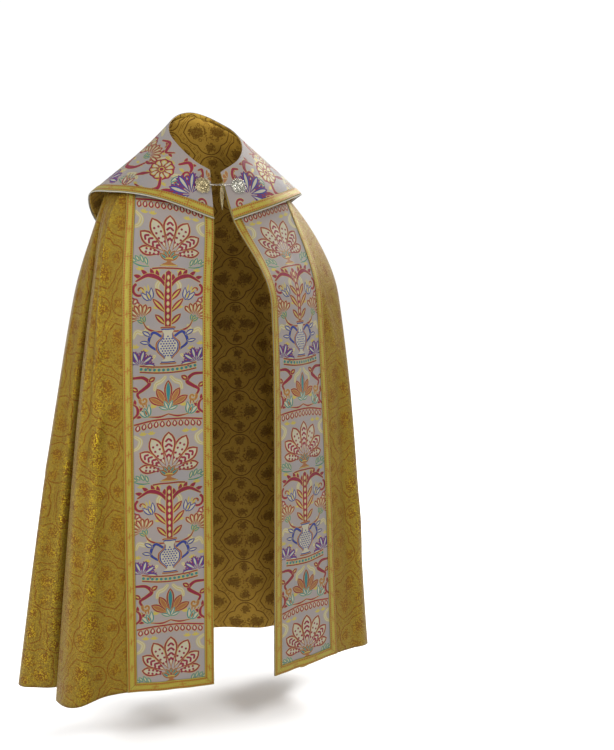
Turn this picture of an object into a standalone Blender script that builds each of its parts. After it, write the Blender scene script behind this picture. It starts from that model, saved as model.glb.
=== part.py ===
"""A cope: a semicircular cloak with two orphreys, a wide hood collar and a clasp.

Metres, +Z up. The wearer faces -Y, so the wearer's right side lies at -X.
The origin is the middle of the neck opening, where the wearer carries the cope.
Each cloth surface is worked out from short tables, a row for each fold, and its
layers are the same points moved out.
"""
import math
from collections import namedtuple

import bmesh
import bpy
import numpy as np
from mathutils import Matrix, Vector

# Walls and widths of the cloth pieces
BODY_WALL = 0.0020
ORPHREY_WALL = 0.0012
BRAID_WALL = 0.0010
HOOD_WALL = 0.0015
LINING_WALL = 0.0010
SEAM_GAP = 0.0003
ORPHREY_WIDTH = 0.210
BRAID_WIDTH = 0.023
PIPING_RADIUS = 0.0016
PIPING_GAP = 0.0008
MITRE_SHIFT = 0.0005

# Places down the cloth, as shares of the way from neck to hem
NECK_AT = 0.0
COLLAR_AT = 0.03
SLOPE_AT = 0.085
SHOULDER_AT = 0.17
ELBOW_AT = 0.36
HEM_AT = 1.0
ORPHREY_TOP_AT = 0.03
BODY_ROWS = (0.0, 0.03, 0.06, 0.095, 0.13, 0.17, 0.22, 0.28, 0.36, 0.45, 0.55, 0.66, 0.77, 0.88)
ELBOW_HEIGHT = -0.33
FRONT_HEM_HEIGHT = -1.265

# How the body starts under the hood
NECK_DROP = 0.010
NECK_CLEARANCE = 0.0010
COLLAR_DEPTH = 0.20
COLLAR_CLEARANCE = 0.0078
SLOPE_DEPTH = 0.50
SLOPE_CLEARANCE = 0.0100

# How finely each surface is divided
BODY_COLUMNS = 54
HOOD_COLUMNS = 44
HOOD_ROWS = 6
ARC_SAMPLES = 241

Rib = namedtuple("Rib", "name share shoulder elbow hem")
RIBS = (
    #    name             share  shoulder x, y, z          elbow x, y        hem x, y, z
    Rib("right_edge",     0.000, (-0.038, -0.116, -0.130), (-0.058, -0.149), (-0.074, -0.166, FRONT_HEM_HEIGHT)),
    Rib("right_panel",    0.040, (-0.110, -0.106, -0.115), (-0.158, -0.136), (-0.170, -0.142, -1.268)),
    Rib("right_outer",    0.080, (-0.190, -0.080, -0.100), (-0.258, -0.110), (-0.271, -0.106, -1.270)),
    Rib("right_hollow",   0.100, (-0.222, -0.050, -0.090), (-0.282, -0.070), (-0.316, -0.092, -1.275)),
    Rib("right_crest",    0.135, (-0.236, -0.015, -0.080), (-0.300, -0.040), (-0.404, -0.072, -1.295)),
    Rib("right_turn",     0.165, (-0.244, 0.010, -0.078), (-0.302, 0.000), (-0.424, -0.010, -1.298)),
    Rib("right_valley",   0.215, (-0.247, 0.035, -0.078), (-0.275, 0.030), (-0.320, 0.020, -1.300)),
    Rib("right_side",     0.260, (-0.248, 0.058, -0.078), (-0.292, 0.060), (-0.400, 0.072, -1.303)),
    Rib("right_far",      0.300, (-0.244, 0.082, -0.082), (-0.325, 0.098), (-0.478, 0.130, -1.305)),
    Rib("right_rear",     0.330, (-0.230, 0.102, -0.088), (-0.312, 0.140), (-0.450, 0.185, -1.303)),
    Rib("rear_valley",    0.385, (-0.200, 0.125, -0.100), (-0.250, 0.130), (-0.325, 0.125, -1.300)),
    Rib("rear_edge",      0.425, (-0.165, 0.145, -0.110), (-0.225, 0.180), (-0.325, 0.195, -1.295)),
    Rib("back_dent",      0.480, (-0.100, 0.168, -0.115), (-0.120, 0.190), (-0.145, 0.168, -1.290)),
    Rib("back_middle",    0.560, (0.020, 0.180, -0.115), (0.035, 0.210), (0.060, 0.215, -1.288)),
    Rib("back_hollow",    0.620, (0.115, 0.156, -0.110), (0.145, 0.180), (0.200, 0.160, -1.292)),
    Rib("back_edge",      0.670, (0.165, 0.120, -0.100), (0.238, 0.150), (0.328, 0.170, -1.308)),
    Rib("left_rear",      0.700, (0.196, 0.085, -0.095), (0.282, 0.110), (0.368, 0.125, -1.322)),
    Rib("left_valley",    0.770, (0.214, 0.045, -0.092), (0.245, 0.035), (0.262, 0.020, -1.368)),
    Rib("left_fold",      0.830, (0.216, 0.008, -0.090), (0.305, -0.030), (0.370, -0.045, -1.290)),
    Rib("left_crest",     0.870, (0.206, -0.030, -0.092), (0.322, -0.075), (0.395, -0.115, -1.272)),
    Rib("left_outer",     0.910, (0.170, -0.072, -0.100), (0.239, -0.129), (0.286, -0.145, -1.266)),
    Rib("left_panel",     0.955, (0.092, -0.110, -0.120), (0.145, -0.185), (0.182, -0.172, -1.265)),
    Rib("left_edge",      1.000, (0.006, -0.127, -0.134), (0.058, -0.228), (0.077, -0.195, -1.265)),
)

HoodRow = namedtuple("HoodRow", "name share rim edge bulge")
TIP_SHARE = 0.50
HOOD_TABLE = (
    #        name              share  rim x, y, z              lower edge x, y, z        bulge
    HoodRow("right_front",     0.00, (-0.036, -0.093, -0.021), (-0.040, -0.125, -0.131), 0.000),
    HoodRow("right_chest",     0.10, (-0.064, -0.070, 0.000), (-0.165, -0.104, -0.086), 0.004),
    HoodRow("right_shoulder",  0.20, (-0.086, -0.015, 0.040), (-0.250, -0.030, -0.070), 0.004),
    HoodRow("right_side",      0.30, (-0.086, 0.045, 0.077), (-0.278, 0.080, -0.080), 0.006),
    HoodRow("right_rear",      0.38, (-0.065, 0.085, 0.105), (-0.230, 0.165, -0.150), 0.014),
    HoodRow("right_back",      0.44, (-0.035, 0.105, 0.122), (-0.140, 0.212, -0.227), 0.020),
    HoodRow("tip",             0.50, (0.000, 0.112, 0.128), (0.000, 0.240, -0.302), 0.022),
    HoodRow("left_back",       0.56, (0.035, 0.105, 0.120), (0.115, 0.212, -0.240), 0.020),
    HoodRow("left_rear",       0.62, (0.063, 0.078, 0.102), (0.200, 0.150, -0.160), 0.014),
    HoodRow("left_side",       0.70, (0.080, 0.030, 0.078), (0.250, 0.045, -0.088), 0.006),
    HoodRow("left_shoulder",   0.80, (0.076, -0.028, 0.043), (0.225, -0.045, -0.075), 0.004),
    HoodRow("left_chest",      0.90, (0.044, -0.078, 0.006), (0.125, -0.112, -0.100), 0.004),
    HoodRow("left_front",      1.00, (-0.012, -0.102, -0.026), (0.006, -0.137, -0.134), 0.000),
)

# Clasp
ROSETTE_RADIUS = 0.020
ROSETTE_DOME = 0.0072
ROSETTE_RIM = 0.0048
ROSETTE_STEPS = 20
ROSETTE_SHARE = {"right": 0.029, "left": 0.962}
ROSETTE_DEPTH = 0.42
ROSETTE_SEAT = 0.0005
SEAT_PATCH_SHARE = 0.028
SEAT_PATCH_DEPTH = 0.25
BAR_RADIUS = 0.0014
BAR_GAP = 0.0007
BAR_REACH = 0.82
RING_RADIUS = 0.0027
RING_WIRE = 0.0008
PENDANT_LENGTH = 0.055
PENDANT_HALF_WIDTH = 0.0042
PENDANT_WALL = 0.0016
PENDANT_TAPER = 0.25

COLLECTION = "cope"


def clear_scene():
    for item in list(bpy.data.objects):
        bpy.data.objects.remove(item, do_unlink=True)


def make_material(name, colour, roughness, metallic):
    material = bpy.data.materials.new(name)
    material.use_nodes = True
    shader = material.node_tree.nodes["Principled BSDF"]
    shader.inputs["Base Color"].default_value = (*colour, 1.0)
    shader.inputs["Roughness"].default_value = roughness
    shader.inputs["Metallic"].default_value = metallic
    return material


def make_object(name, data, material, collection):
    data.materials.append(material)
    item = bpy.data.objects.new(name, data)
    collection.objects.link(item)
    return item


# ---------------------------------------------------------------- curves through the tables

def hermite(keys, values, tangents, at):
    """Cubic pieces with the given values and tangents at the keys."""
    step = np.diff(keys)
    piece = np.clip(np.searchsorted(keys, at, side="right") - 1, 0, len(step) - 1)
    shape = np.shape(at) + (1,) * (values.ndim - 1)
    width = step[piece].reshape(shape)
    f = ((at - keys[piece]) / step[piece]).reshape(shape)
    start = (2 * f**3 - 3 * f**2 + 1) * values[piece] + (f**3 - 2 * f**2 + f) * tangents[piece] * width
    end = (3 * f**2 - 2 * f**3) * values[piece + 1] + (f**3 - f**2) * tangents[piece + 1] * width
    return start + end


def round_curve(keys, values, at):
    """A round curve through the values, for the folds around the cope."""
    keys, values = np.asarray(keys, float), np.asarray(values, float)
    step = np.diff(keys).reshape((-1,) + (1,) * (values.ndim - 1))
    slope = np.diff(values, axis=0) / step
    tangents = np.concatenate([slope[:1], slope])
    tangents[1:-1] = (slope[:-1] * step[1:] + slope[1:] * step[:-1]) / (step[:-1] + step[1:])
    return hermite(keys, values, tangents, np.asarray(at, float))


def taut_curve(keys, values, at):
    """A curve that never swings past its values, for cloth that hangs straight down."""
    keys, values = np.asarray(keys, float), np.asarray(values, float)
    step = np.diff(keys).reshape((-1,) + (1,) * (values.ndim - 1))
    slope = np.diff(values, axis=0) / step
    before, after = slope[:-1], slope[1:]
    same_way = before * after > 0
    total = np.where(same_way, before + after, 1.0)
    tangents = np.concatenate([slope[:1], slope])
    tangents[1:-1] = np.where(same_way, 2 * before * after / total, 0.0)
    return hermite(keys, values, tangents, np.asarray(at, float))


# ---------------------------------------------------------------- the two cloth surfaces

def cornered_curve(keys, values, at, corner):
    """Two round curves that meet in a corner at one key."""
    turn = keys.index(corner)
    first = round_curve(keys[:turn + 1], values[:turn + 1], at)
    second = round_curve(keys[turn:], values[turn:], at)
    return np.where((np.asarray(at) <= corner)[:, None], first, second)


def hood_points(shares, depths):
    """Points of the hood's outer face: shares run around it, depths from rim to lower edge."""
    keys = [row.share for row in HOOD_TABLE]
    rim = round_curve(keys, [row.rim for row in HOOD_TABLE], shares)
    edge = cornered_curve(keys, [row.edge for row in HOOD_TABLE], shares, TIP_SHARE)
    bulge = round_curve(keys, [row.bulge for row in HOOD_TABLE], shares)
    outward = edge * np.array((1.0, 1.0, 0.0))
    outward /= np.linalg.norm(outward, axis=-1, keepdims=True)
    down = np.asarray(depths, float)
    down = down.reshape(down.shape[0], -1, 1)
    swell = (4 * down * (1 - down)) * bulge[:, None] * outward
    return rim + (edge - rim) * down + swell


def hood_grid():
    """The hood's outer face with a row at the braid's upper edge, and its normals."""
    shares = np.linspace(0.0, 1.0, HOOD_COLUMNS + 1)
    ends = hood_points(shares, (0.0, 1.0))
    length = np.linalg.norm(ends[1] - ends[0], axis=-1)
    braid_top = 1.0 - BRAID_WIDTH / length
    steps = np.linspace(0.0, 1.0, HOOD_ROWS)[:, None]
    depths = np.concatenate((steps * braid_top, np.ones((1, len(shares)))))
    points = hood_points(shares, depths)
    return points, surface_normals(points)


def surface_normals(points):
    """Outward normals of a grid whose rows run down and whose columns run around."""
    around = np.gradient(points, axis=1)
    down = np.gradient(points, axis=0)
    normals = np.cross(around, down)
    return normals / np.linalg.norm(normals, axis=-1, keepdims=True)


def body_points(shares, at):
    """Points of the body's outer face at one level, for shares around the cope."""
    keys = [rib.share for rib in RIBS]
    hood = hood_points(shares, (0.0, COLLAR_DEPTH, SLOPE_DEPTH))
    inward = -surface_normals(hood)
    layers = HOOD_WALL + LINING_WALL + SEAM_GAP + NECK_CLEARANCE
    down_hood = hood[1] - hood[0]
    down_hood /= np.linalg.norm(down_hood, axis=-1, keepdims=True)
    neck = hood[0] + down_hood * NECK_DROP + inward[0] * layers
    collar = hood[1] + inward[1] * COLLAR_CLEARANCE
    slope = hood[2] + inward[2] * SLOPE_CLEARANCE
    shoulder = round_curve(keys, [rib.shoulder for rib in RIBS], shares)
    elbow = round_curve(keys, [rib.elbow + (ELBOW_HEIGHT,) for rib in RIBS], shares)
    hem = round_curve(keys, [rib.hem for rib in RIBS], shares)
    levels = (NECK_AT, COLLAR_AT, SLOPE_AT, SHOULDER_AT, ELBOW_AT, HEM_AT)
    return taut_curve(levels, np.stack((neck, collar, slope, shoulder, elbow, hem)), at)


def strip_columns():
    """Distances of the columns across an orphrey, from its front edge."""
    middle = ORPHREY_WIDTH / 2
    return (0.0, BRAID_WIDTH, middle, ORPHREY_WIDTH - BRAID_WIDTH, ORPHREY_WIDTH)


def body_shares(at):
    """Shares of the body's columns at one level: both orphreys' columns and even ones between."""
    fine = np.linspace(0.0, 1.0, ARC_SAMPLES)
    steps = np.linalg.norm(np.diff(body_points(fine, at), axis=0), axis=-1)
    length = np.concatenate(((0.0,), np.cumsum(steps)))
    right = np.interp(strip_columns(), length, fine)
    left = np.interp(length[-1] - np.array(strip_columns()[::-1]), length, fine)
    between = np.linspace(right[-1], left[0], BODY_COLUMNS + 1)[1:-1]
    return np.concatenate((right, between, left))


def body_grid():
    """The body's outer face, its normals and the levels of its rows."""
    fall = (ELBOW_HEIGHT - FRONT_HEM_HEIGHT) / (HEM_AT - ELBOW_AT)
    levels = BODY_ROWS + (HEM_AT - BRAID_WIDTH / fall, HEM_AT)
    points = np.stack([body_points(body_shares(at), at) for at in levels])
    return points, surface_normals(points), levels


# ---------------------------------------------------------------- cloth pieces

def shell(name, points, wall, material, collection, outward=True, cut_corners=()):
    """A sheet through a grid of points, thickened by a Solidify modifier.

    cut_corners maps a cell, as (row, column), to the corner that a mitre cuts off it.
    """
    rows, columns = points.shape[:2]
    cut = dict(cut_corners)
    work = bmesh.new()
    grid = [[work.verts.new(points[i, j]) for j in range(columns)] for i in range(rows)]
    for i in range(rows - 1):
        for j in range(columns - 1):
            cell = [grid[i][j], grid[i][j + 1], grid[i + 1][j + 1], grid[i + 1][j]]
            if (i, j) in cut:
                cell.pop(cut[(i, j)])
            work.faces.new(cell)
    bmesh.ops.triangulate(work, faces=work.faces[:], quad_method="FIXED")
    loose = [vert for vert in work.verts if not vert.link_faces]
    bmesh.ops.delete(work, geom=loose, context="VERTS")
    mesh = bpy.data.meshes.new(name)
    work.to_mesh(mesh)
    work.free()
    mesh.shade_smooth()
    item = make_object(name, mesh, material, collection)
    solidify = item.modifiers.new("wall", "SOLIDIFY")
    solidify.thickness = wall
    solidify.offset = 1.0 if outward else -1.0
    return item


def add_body(points, material, collection):
    shell("cope_body", points, BODY_WALL, material, collection, outward=False)


def add_orphrey(side, points, normals, material, collection):
    """One orphrey panel, on the body's own points."""
    lifted = points + normals * SEAM_GAP
    shell(f"orphrey_{side}", lifted, ORPHREY_WALL, material, collection)


TOP_LEFT, TOP_RIGHT, BOTTOM_RIGHT, BOTTOM_LEFT = range(4)


def add_braids(side, points, normals, material, collection):
    """Three lengths of galloon on an orphrey, mitred at its two lower corners."""
    lifted = points + normals * (2 * SEAM_GAP + ORPHREY_WALL)
    low, high = ("inner", "outer") if side == "right" else ("outer", "inner")
    last_cell = len(lifted) - 2
    shell(f"braid_{side}_{low}", lifted[:, :2], BRAID_WALL, material, collection,
          cut_corners={(last_cell, 0): BOTTOM_RIGHT})
    shell(f"braid_{side}_{high}", lifted[:, -2:], BRAID_WALL, material, collection,
          cut_corners={(last_cell, 0): BOTTOM_LEFT})
    bottom = lifted[-2:].copy()
    for row, column, towards in ((0, 1, 2), (1, 0, 1), (0, -2, -3), (1, -1, -2)):
        step = lifted[-2 + row, towards] - lifted[-2 + row, column]
        bottom[row, column] += step / np.linalg.norm(step) * MITRE_SHIFT
    shell(f"braid_{side}_bottom", bottom, BRAID_WALL, material, collection,
          cut_corners={(0, 0): TOP_LEFT, (0, bottom.shape[1] - 2): TOP_RIGHT})


def add_hood(points, normals, tapestry, lining, braid, collection):
    """The hood's tapestry, its lining below and the galloon along its lower edge."""
    shell("hood", points, HOOD_WALL, tapestry, collection, outward=False)
    below = points - normals * (HOOD_WALL + SEAM_GAP)
    shell("hood_lining", below, LINING_WALL, lining, collection, outward=False)
    above = points[-2:] + normals[-2:] * SEAM_GAP
    shell("hood_braid", above, BRAID_WALL, braid, collection)


def add_piping(points, normals, material, collection):
    """A thin round cord along the very edge of the hood."""
    down = points[-1] - points[-2]
    down /= np.linalg.norm(down, axis=-1, keepdims=True)
    centre = points[-1] + down * (PIPING_RADIUS + PIPING_GAP) - normals[-1] * (HOOD_WALL / 2)
    curve = bpy.data.curves.new("hood_piping", "CURVE")
    curve.dimensions = "3D"
    curve.bevel_depth = PIPING_RADIUS
    curve.bevel_resolution = 1
    curve.use_fill_caps = True
    spline = curve.splines.new("POLY")
    spline.points.add(len(centre) - 1)
    for point, place in zip(spline.points, centre):
        point.co = (*place, 1.0)
    make_object("hood_piping", curve, material, collection)


# ---------------------------------------------------------------- clasp

def frame_from(normal, along):
    """A rotation whose Z is the normal and whose X points along."""
    z = Vector(normal).normalized()
    x = (Vector(along) - z * z.dot(Vector(along))).normalized()
    return Matrix((x, z.cross(x), z)).transposed()


def rosette_place(side):
    """Where a rosette's back rests on the hood, and the hood's normal there."""
    steps = np.linspace(-1.0, 1.0, 21)
    shares = np.clip(ROSETTE_SHARE[side] + steps * SEAT_PATCH_SHARE, 0.0, 1.0)
    patch = hood_points(shares, ROSETTE_DEPTH + steps * SEAT_PATCH_DEPTH)
    middle = len(steps) // 2
    normal = surface_normals(patch)[middle, middle]
    offsets = patch - patch[middle, middle]
    heights = offsets @ normal
    reach = np.linalg.norm(offsets - heights[..., None] * normal, axis=-1)
    lift = heights[reach <= ROSETTE_RADIUS].max()
    return patch[middle, middle] + normal * (lift + ROSETTE_SEAT), normal


def add_rosette(side, along, material, collection):
    """A turned disc with a raised rim and a domed heart."""
    place, normal = rosette_place(side)
    work = bmesh.new()
    profile = ((0.0, ROSETTE_DOME), (0.28, 0.88 * ROSETTE_DOME), (0.46, 0.80 * ROSETTE_RIM),
               (0.68, 0.72 * ROSETTE_RIM), (0.78, ROSETTE_RIM), (0.92, ROSETTE_RIM),
               (1.0, 0.60 * ROSETTE_RIM), (1.0, 0.0), (0.0, 0.0))
    verts = [work.verts.new((share * ROSETTE_RADIUS, 0.0, height)) for share, height in profile]
    for upper, lower in zip(verts, verts[1:]):
        work.edges.new((upper, lower))
    mesh = bpy.data.meshes.new(f"clasp_rosette_{side}")
    work.to_mesh(mesh)
    work.free()
    item = make_object(f"clasp_rosette_{side}", mesh, material, collection)
    turn = item.modifiers.new("turn", "SCREW")
    turn.steps = turn.render_steps = ROSETTE_STEPS
    turn.use_merge_vertices = True
    turn.merge_threshold = 0.00001
    item.matrix_world = Matrix.Translation(place) @ frame_from(normal, along).to_4x4()


def bar_ends():
    """The two ends of the clasp's bar, which lie on the rosettes' raised rims."""
    places = {side: rosette_place(side) for side in ("right", "left")}
    across = places["left"][0] - places["right"][0]
    ends = []
    for side, way in (("right", 1.0), ("left", -1.0)):
        place, normal = places[side]
        inward = frame_from(normal, way * across).col[0]
        height = ROSETTE_RIM + BAR_GAP + BAR_RADIUS
        ends.append(Vector(place) + Vector(normal) * height + inward * BAR_REACH * ROSETTE_RADIUS)
    return ends


def add_bar(material, collection):
    start, end = bar_ends()
    work = bmesh.new()
    bmesh.ops.create_cone(work, cap_ends=True, segments=12, radius1=BAR_RADIUS,
                          radius2=BAR_RADIUS, depth=(end - start).length)
    mesh = bpy.data.meshes.new("clasp_bar")
    work.to_mesh(mesh)
    work.free()
    item = make_object("clasp_bar", mesh, material, collection)
    item.location = (start + end) / 2
    item.rotation_mode = "QUATERNION"
    item.rotation_quaternion = (end - start).to_track_quat("Z", "Y")


def add_pendant(material, collection, cutters):
    """A slim leaf that hangs from a ring around the bar, which is its hinge."""
    start, end = bar_ends()
    pivot = (start + end) / 2
    across = (end - start).normalized()
    facing = across.cross(Vector((0.0, 0.0, 1.0))).normalized()
    place = Matrix.Translation(pivot) @ frame_from(facing, across).to_4x4()

    bpy.ops.mesh.primitive_torus_add(major_segments=16, minor_segments=8,
                                     major_radius=RING_RADIUS, minor_radius=RING_WIRE)
    ring = bpy.context.object
    ring.name = "pendant_ring"
    ring.matrix_world = place @ Matrix.Rotation(math.pi / 2, 4, "Y")
    for other in list(ring.users_collection):
        other.objects.unlink(ring)
    cutters.objects.link(ring)
    ring.hide_render = True
    ring.display_type = "WIRE"

    work = bmesh.new()
    bmesh.ops.create_uvsphere(work, u_segments=12, v_segments=10, radius=1.0)
    half = PENDANT_LENGTH / 2
    top = -RING_RADIUS
    for vert in work.verts:
        x, y, z = vert.co
        belly = 1.0 - PENDANT_TAPER * y
        vert.co = (x * PENDANT_HALF_WIDTH * belly, top - half + y * half, z * PENDANT_WALL / 2)
    mesh = bpy.data.meshes.new("clasp_pendant")
    work.to_mesh(mesh)
    work.free()
    item = make_object("clasp_pendant", mesh, material, collection)
    item.matrix_world = place
    join = item.modifiers.new("ring", "BOOLEAN")
    join.operation = "UNION"
    join.object = ring


def main():
    clear_scene()
    collection = bpy.data.collections.new(COLLECTION)
    cutters = bpy.data.collections.new("cutters")
    for group in (collection, cutters):
        bpy.context.scene.collection.children.link(group)

    brocade = make_material("brocade", (0.42, 0.27, 0.05), 0.55, 0.15)
    tapestry = make_material("tapestry", (0.50, 0.42, 0.44), 0.75, 0.0)
    braid = make_material("braid", (0.62, 0.48, 0.12), 0.5, 0.2)
    lining = make_material("lining", (0.20, 0.12, 0.03), 0.7, 0.0)
    piping = make_material("piping", (0.80, 0.76, 0.62), 0.7, 0.0)
    metal = make_material("clasp_metal", (0.80, 0.72, 0.52), 0.35, 1.0)

    points, normals, levels = body_grid()
    add_body(points, brocade, collection)
    top = levels.index(ORPHREY_TOP_AT)
    width = len(strip_columns())
    strips = {"right": np.s_[top:, :width], "left": np.s_[top:, -width:]}
    for side, strip in strips.items():
        add_orphrey(side, points[strip], normals[strip], tapestry, collection)
        add_braids(side, points[strip], normals[strip], braid, collection)

    hood, hood_normals = hood_grid()
    add_hood(hood, hood_normals, tapestry, lining, braid, collection)
    add_piping(hood, hood_normals, piping, collection)

    start, end = bar_ends()
    for side in ("right", "left"):
        add_rosette(side, end - start, metal, collection)
    add_bar(metal, collection)
    add_pendant(metal, collection, cutters)


main()
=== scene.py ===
"""Looks of the worn cope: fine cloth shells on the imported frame, woven patterns and a filigree clasp.

Metres, +Z up, the wearer faces -Y. Each cloth surface is worked out from the same short
tables as the frame's solids, and small creases are added to it.
"""
import math
from collections import namedtuple

import bmesh
import bpy
import numpy as np
from mathutils import Matrix, Vector
from mathutils.geometry import delaunay_2d_cdt


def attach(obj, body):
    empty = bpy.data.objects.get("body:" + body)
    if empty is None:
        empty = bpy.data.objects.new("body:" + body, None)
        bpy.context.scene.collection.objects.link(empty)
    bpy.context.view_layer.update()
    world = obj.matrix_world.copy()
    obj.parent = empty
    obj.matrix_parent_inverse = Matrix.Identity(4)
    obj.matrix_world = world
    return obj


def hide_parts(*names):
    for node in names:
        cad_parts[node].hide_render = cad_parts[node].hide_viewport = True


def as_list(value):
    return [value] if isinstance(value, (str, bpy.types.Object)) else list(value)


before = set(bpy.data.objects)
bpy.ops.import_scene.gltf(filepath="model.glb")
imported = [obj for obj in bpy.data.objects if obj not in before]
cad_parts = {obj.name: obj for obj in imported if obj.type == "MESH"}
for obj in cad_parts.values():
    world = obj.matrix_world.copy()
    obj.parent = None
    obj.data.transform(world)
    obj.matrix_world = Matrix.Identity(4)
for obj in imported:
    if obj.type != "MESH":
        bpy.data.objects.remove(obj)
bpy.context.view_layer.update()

# Walls and widths of the cloth pieces
BODY_WALL = 0.0020
ORPHREY_WALL = 0.0012
BRAID_WALL = 0.0010
HOOD_WALL = 0.0015
LINING_WALL = 0.0010
SEAM_GAP = 0.0003
ORPHREY_WIDTH = 0.210
BRAID_WIDTH = 0.023
PIPING_RADIUS = 0.0016
ORPHREY_LIFT = 0.0004
BRAID_LIFT = 0.0022

# Places down the cloth, as shares of the way from neck to hem
LEVELS = (0.0, 0.03, 0.085, 0.17, 0.36, 1.0)
ORPHREY_TOP_AT = 0.03
ELBOW_HEIGHT = -0.33
# The cloth as cut: half a disc, less a shallow cut for the neck
NECK_CUT = 0.09

# How the body starts under the hood
NECK_DROP = 0.010
NECK_CLEARANCE = 0.0010
COLLAR_DEPTH = 0.20
COLLAR_CLEARANCE = 0.0078
SLOPE_DEPTH = 0.50
SLOPE_CLEARANCE = 0.0100

# How finely each surface is divided
BODY_COLUMNS = 320
BODY_ROWS = 148
STRIP_COLUMNS = 43
HOOD_COLUMNS = 300
HOOD_ROWS = 64
WEAVE_SPACING = 0.0060
HOOD_SPACING = 0.0065
BACK_SPACING = 0.0200

Rib = namedtuple("Rib", "name share shoulder elbow hem")
RIBS = (
    #    name             share  shoulder x, y, z          elbow x, y        hem x, y, z
    Rib("right_edge",     0.000, (-0.038, -0.116, -0.130), (-0.058, -0.149), (-0.074, -0.166, -1.265)),
    Rib("right_panel",    0.040, (-0.110, -0.106, -0.115), (-0.158, -0.136), (-0.170, -0.142, -1.268)),
    Rib("right_outer",    0.080, (-0.190, -0.080, -0.100), (-0.258, -0.110), (-0.271, -0.106, -1.270)),
    Rib("right_hollow",   0.100, (-0.222, -0.050, -0.090), (-0.282, -0.070), (-0.316, -0.092, -1.275)),
    Rib("right_crest",    0.135, (-0.236, -0.015, -0.080), (-0.300, -0.040), (-0.404, -0.072, -1.295)),
    Rib("right_turn",     0.165, (-0.244, 0.010, -0.078), (-0.302, 0.000), (-0.424, -0.010, -1.298)),
    Rib("right_valley",   0.215, (-0.247, 0.035, -0.078), (-0.275, 0.030), (-0.320, 0.020, -1.300)),
    Rib("right_side",     0.260, (-0.248, 0.058, -0.078), (-0.292, 0.060), (-0.400, 0.072, -1.303)),
    Rib("right_far",      0.300, (-0.244, 0.082, -0.082), (-0.325, 0.098), (-0.478, 0.130, -1.305)),
    Rib("right_rear",     0.330, (-0.230, 0.102, -0.088), (-0.312, 0.140), (-0.450, 0.185, -1.303)),
    Rib("rear_valley",    0.385, (-0.200, 0.125, -0.100), (-0.250, 0.130), (-0.325, 0.125, -1.300)),
    Rib("rear_edge",      0.425, (-0.165, 0.145, -0.110), (-0.225, 0.180), (-0.325, 0.195, -1.295)),
    Rib("back_dent",      0.480, (-0.100, 0.168, -0.115), (-0.120, 0.190), (-0.145, 0.168, -1.290)),
    Rib("back_middle",    0.560, (0.020, 0.180, -0.115), (0.035, 0.210), (0.060, 0.215, -1.288)),
    Rib("back_hollow",    0.620, (0.115, 0.156, -0.110), (0.145, 0.180), (0.200, 0.160, -1.292)),
    Rib("back_edge",      0.670, (0.165, 0.120, -0.100), (0.238, 0.150), (0.328, 0.170, -1.308)),
    Rib("left_rear",      0.700, (0.196, 0.085, -0.095), (0.282, 0.110), (0.368, 0.125, -1.322)),
    Rib("left_valley",    0.770, (0.214, 0.045, -0.092), (0.245, 0.035), (0.262, 0.020, -1.368)),
    Rib("left_fold",      0.830, (0.216, 0.008, -0.090), (0.305, -0.030), (0.370, -0.045, -1.290)),
    Rib("left_crest",     0.870, (0.206, -0.030, -0.092), (0.322, -0.075), (0.395, -0.115, -1.272)),
    Rib("left_outer",     0.910, (0.170, -0.072, -0.100), (0.239, -0.129), (0.286, -0.145, -1.266)),
    Rib("left_panel",     0.955, (0.092, -0.110, -0.120), (0.145, -0.185), (0.182, -0.172, -1.265)),
    Rib("left_edge",      1.000, (0.006, -0.127, -0.134), (0.058, -0.228), (0.077, -0.195, -1.265)),
)

HoodRow = namedtuple("HoodRow", "name share rim edge bulge")
TIP_SHARE = 0.50
HOOD_TABLE = (
    #        name              share  rim x, y, z              lower edge x, y, z        bulge
    HoodRow("right_front",     0.00, (-0.036, -0.093, -0.021), (-0.040, -0.125, -0.131), 0.000),
    HoodRow("right_chest",     0.10, (-0.064, -0.070, 0.000), (-0.165, -0.104, -0.086), 0.004),
    HoodRow("right_shoulder",  0.20, (-0.086, -0.015, 0.040), (-0.250, -0.030, -0.070), 0.004),
    HoodRow("right_side",      0.30, (-0.086, 0.045, 0.077), (-0.278, 0.080, -0.080), 0.006),
    HoodRow("right_rear",      0.38, (-0.065, 0.085, 0.105), (-0.230, 0.165, -0.150), 0.014),
    HoodRow("right_back",      0.44, (-0.035, 0.105, 0.122), (-0.140, 0.212, -0.227), 0.020),
    HoodRow("tip",             0.50, (0.000, 0.112, 0.128), (0.000, 0.240, -0.302), 0.022),
    HoodRow("left_back",       0.56, (0.035, 0.105, 0.120), (0.115, 0.212, -0.240), 0.020),
    HoodRow("left_rear",       0.62, (0.063, 0.078, 0.102), (0.200, 0.150, -0.160), 0.014),
    HoodRow("left_side",       0.70, (0.080, 0.030, 0.078), (0.250, 0.045, -0.088), 0.006),
    HoodRow("left_shoulder",   0.80, (0.076, -0.028, 0.043), (0.225, -0.045, -0.075), 0.004),
    HoodRow("left_chest",      0.90, (0.044, -0.078, 0.006), (0.125, -0.112, -0.100), 0.004),
    HoodRow("left_front",      1.00, (-0.012, -0.102, -0.026), (0.006, -0.137, -0.134), 0.000),
)


# ---------------------------------------------------------------- curves through the tables

def hermite(keys, values, tangents, at):
    """Cubic pieces with the given values and tangents at the keys."""
    step = np.diff(keys)
    piece = np.clip(np.searchsorted(keys, at, side="right") - 1, 0, len(step) - 1)
    shape = np.shape(at) + (1,) * (values.ndim - 1)
    width = step[piece].reshape(shape)
    f = ((at - keys[piece]) / step[piece]).reshape(shape)
    start = (2 * f**3 - 3 * f**2 + 1) * values[piece] + (f**3 - 2 * f**2 + f) * tangents[piece] * width
    end = (3 * f**2 - 2 * f**3) * values[piece + 1] + (f**3 - f**2) * tangents[piece + 1] * width
    return start + end


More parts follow.
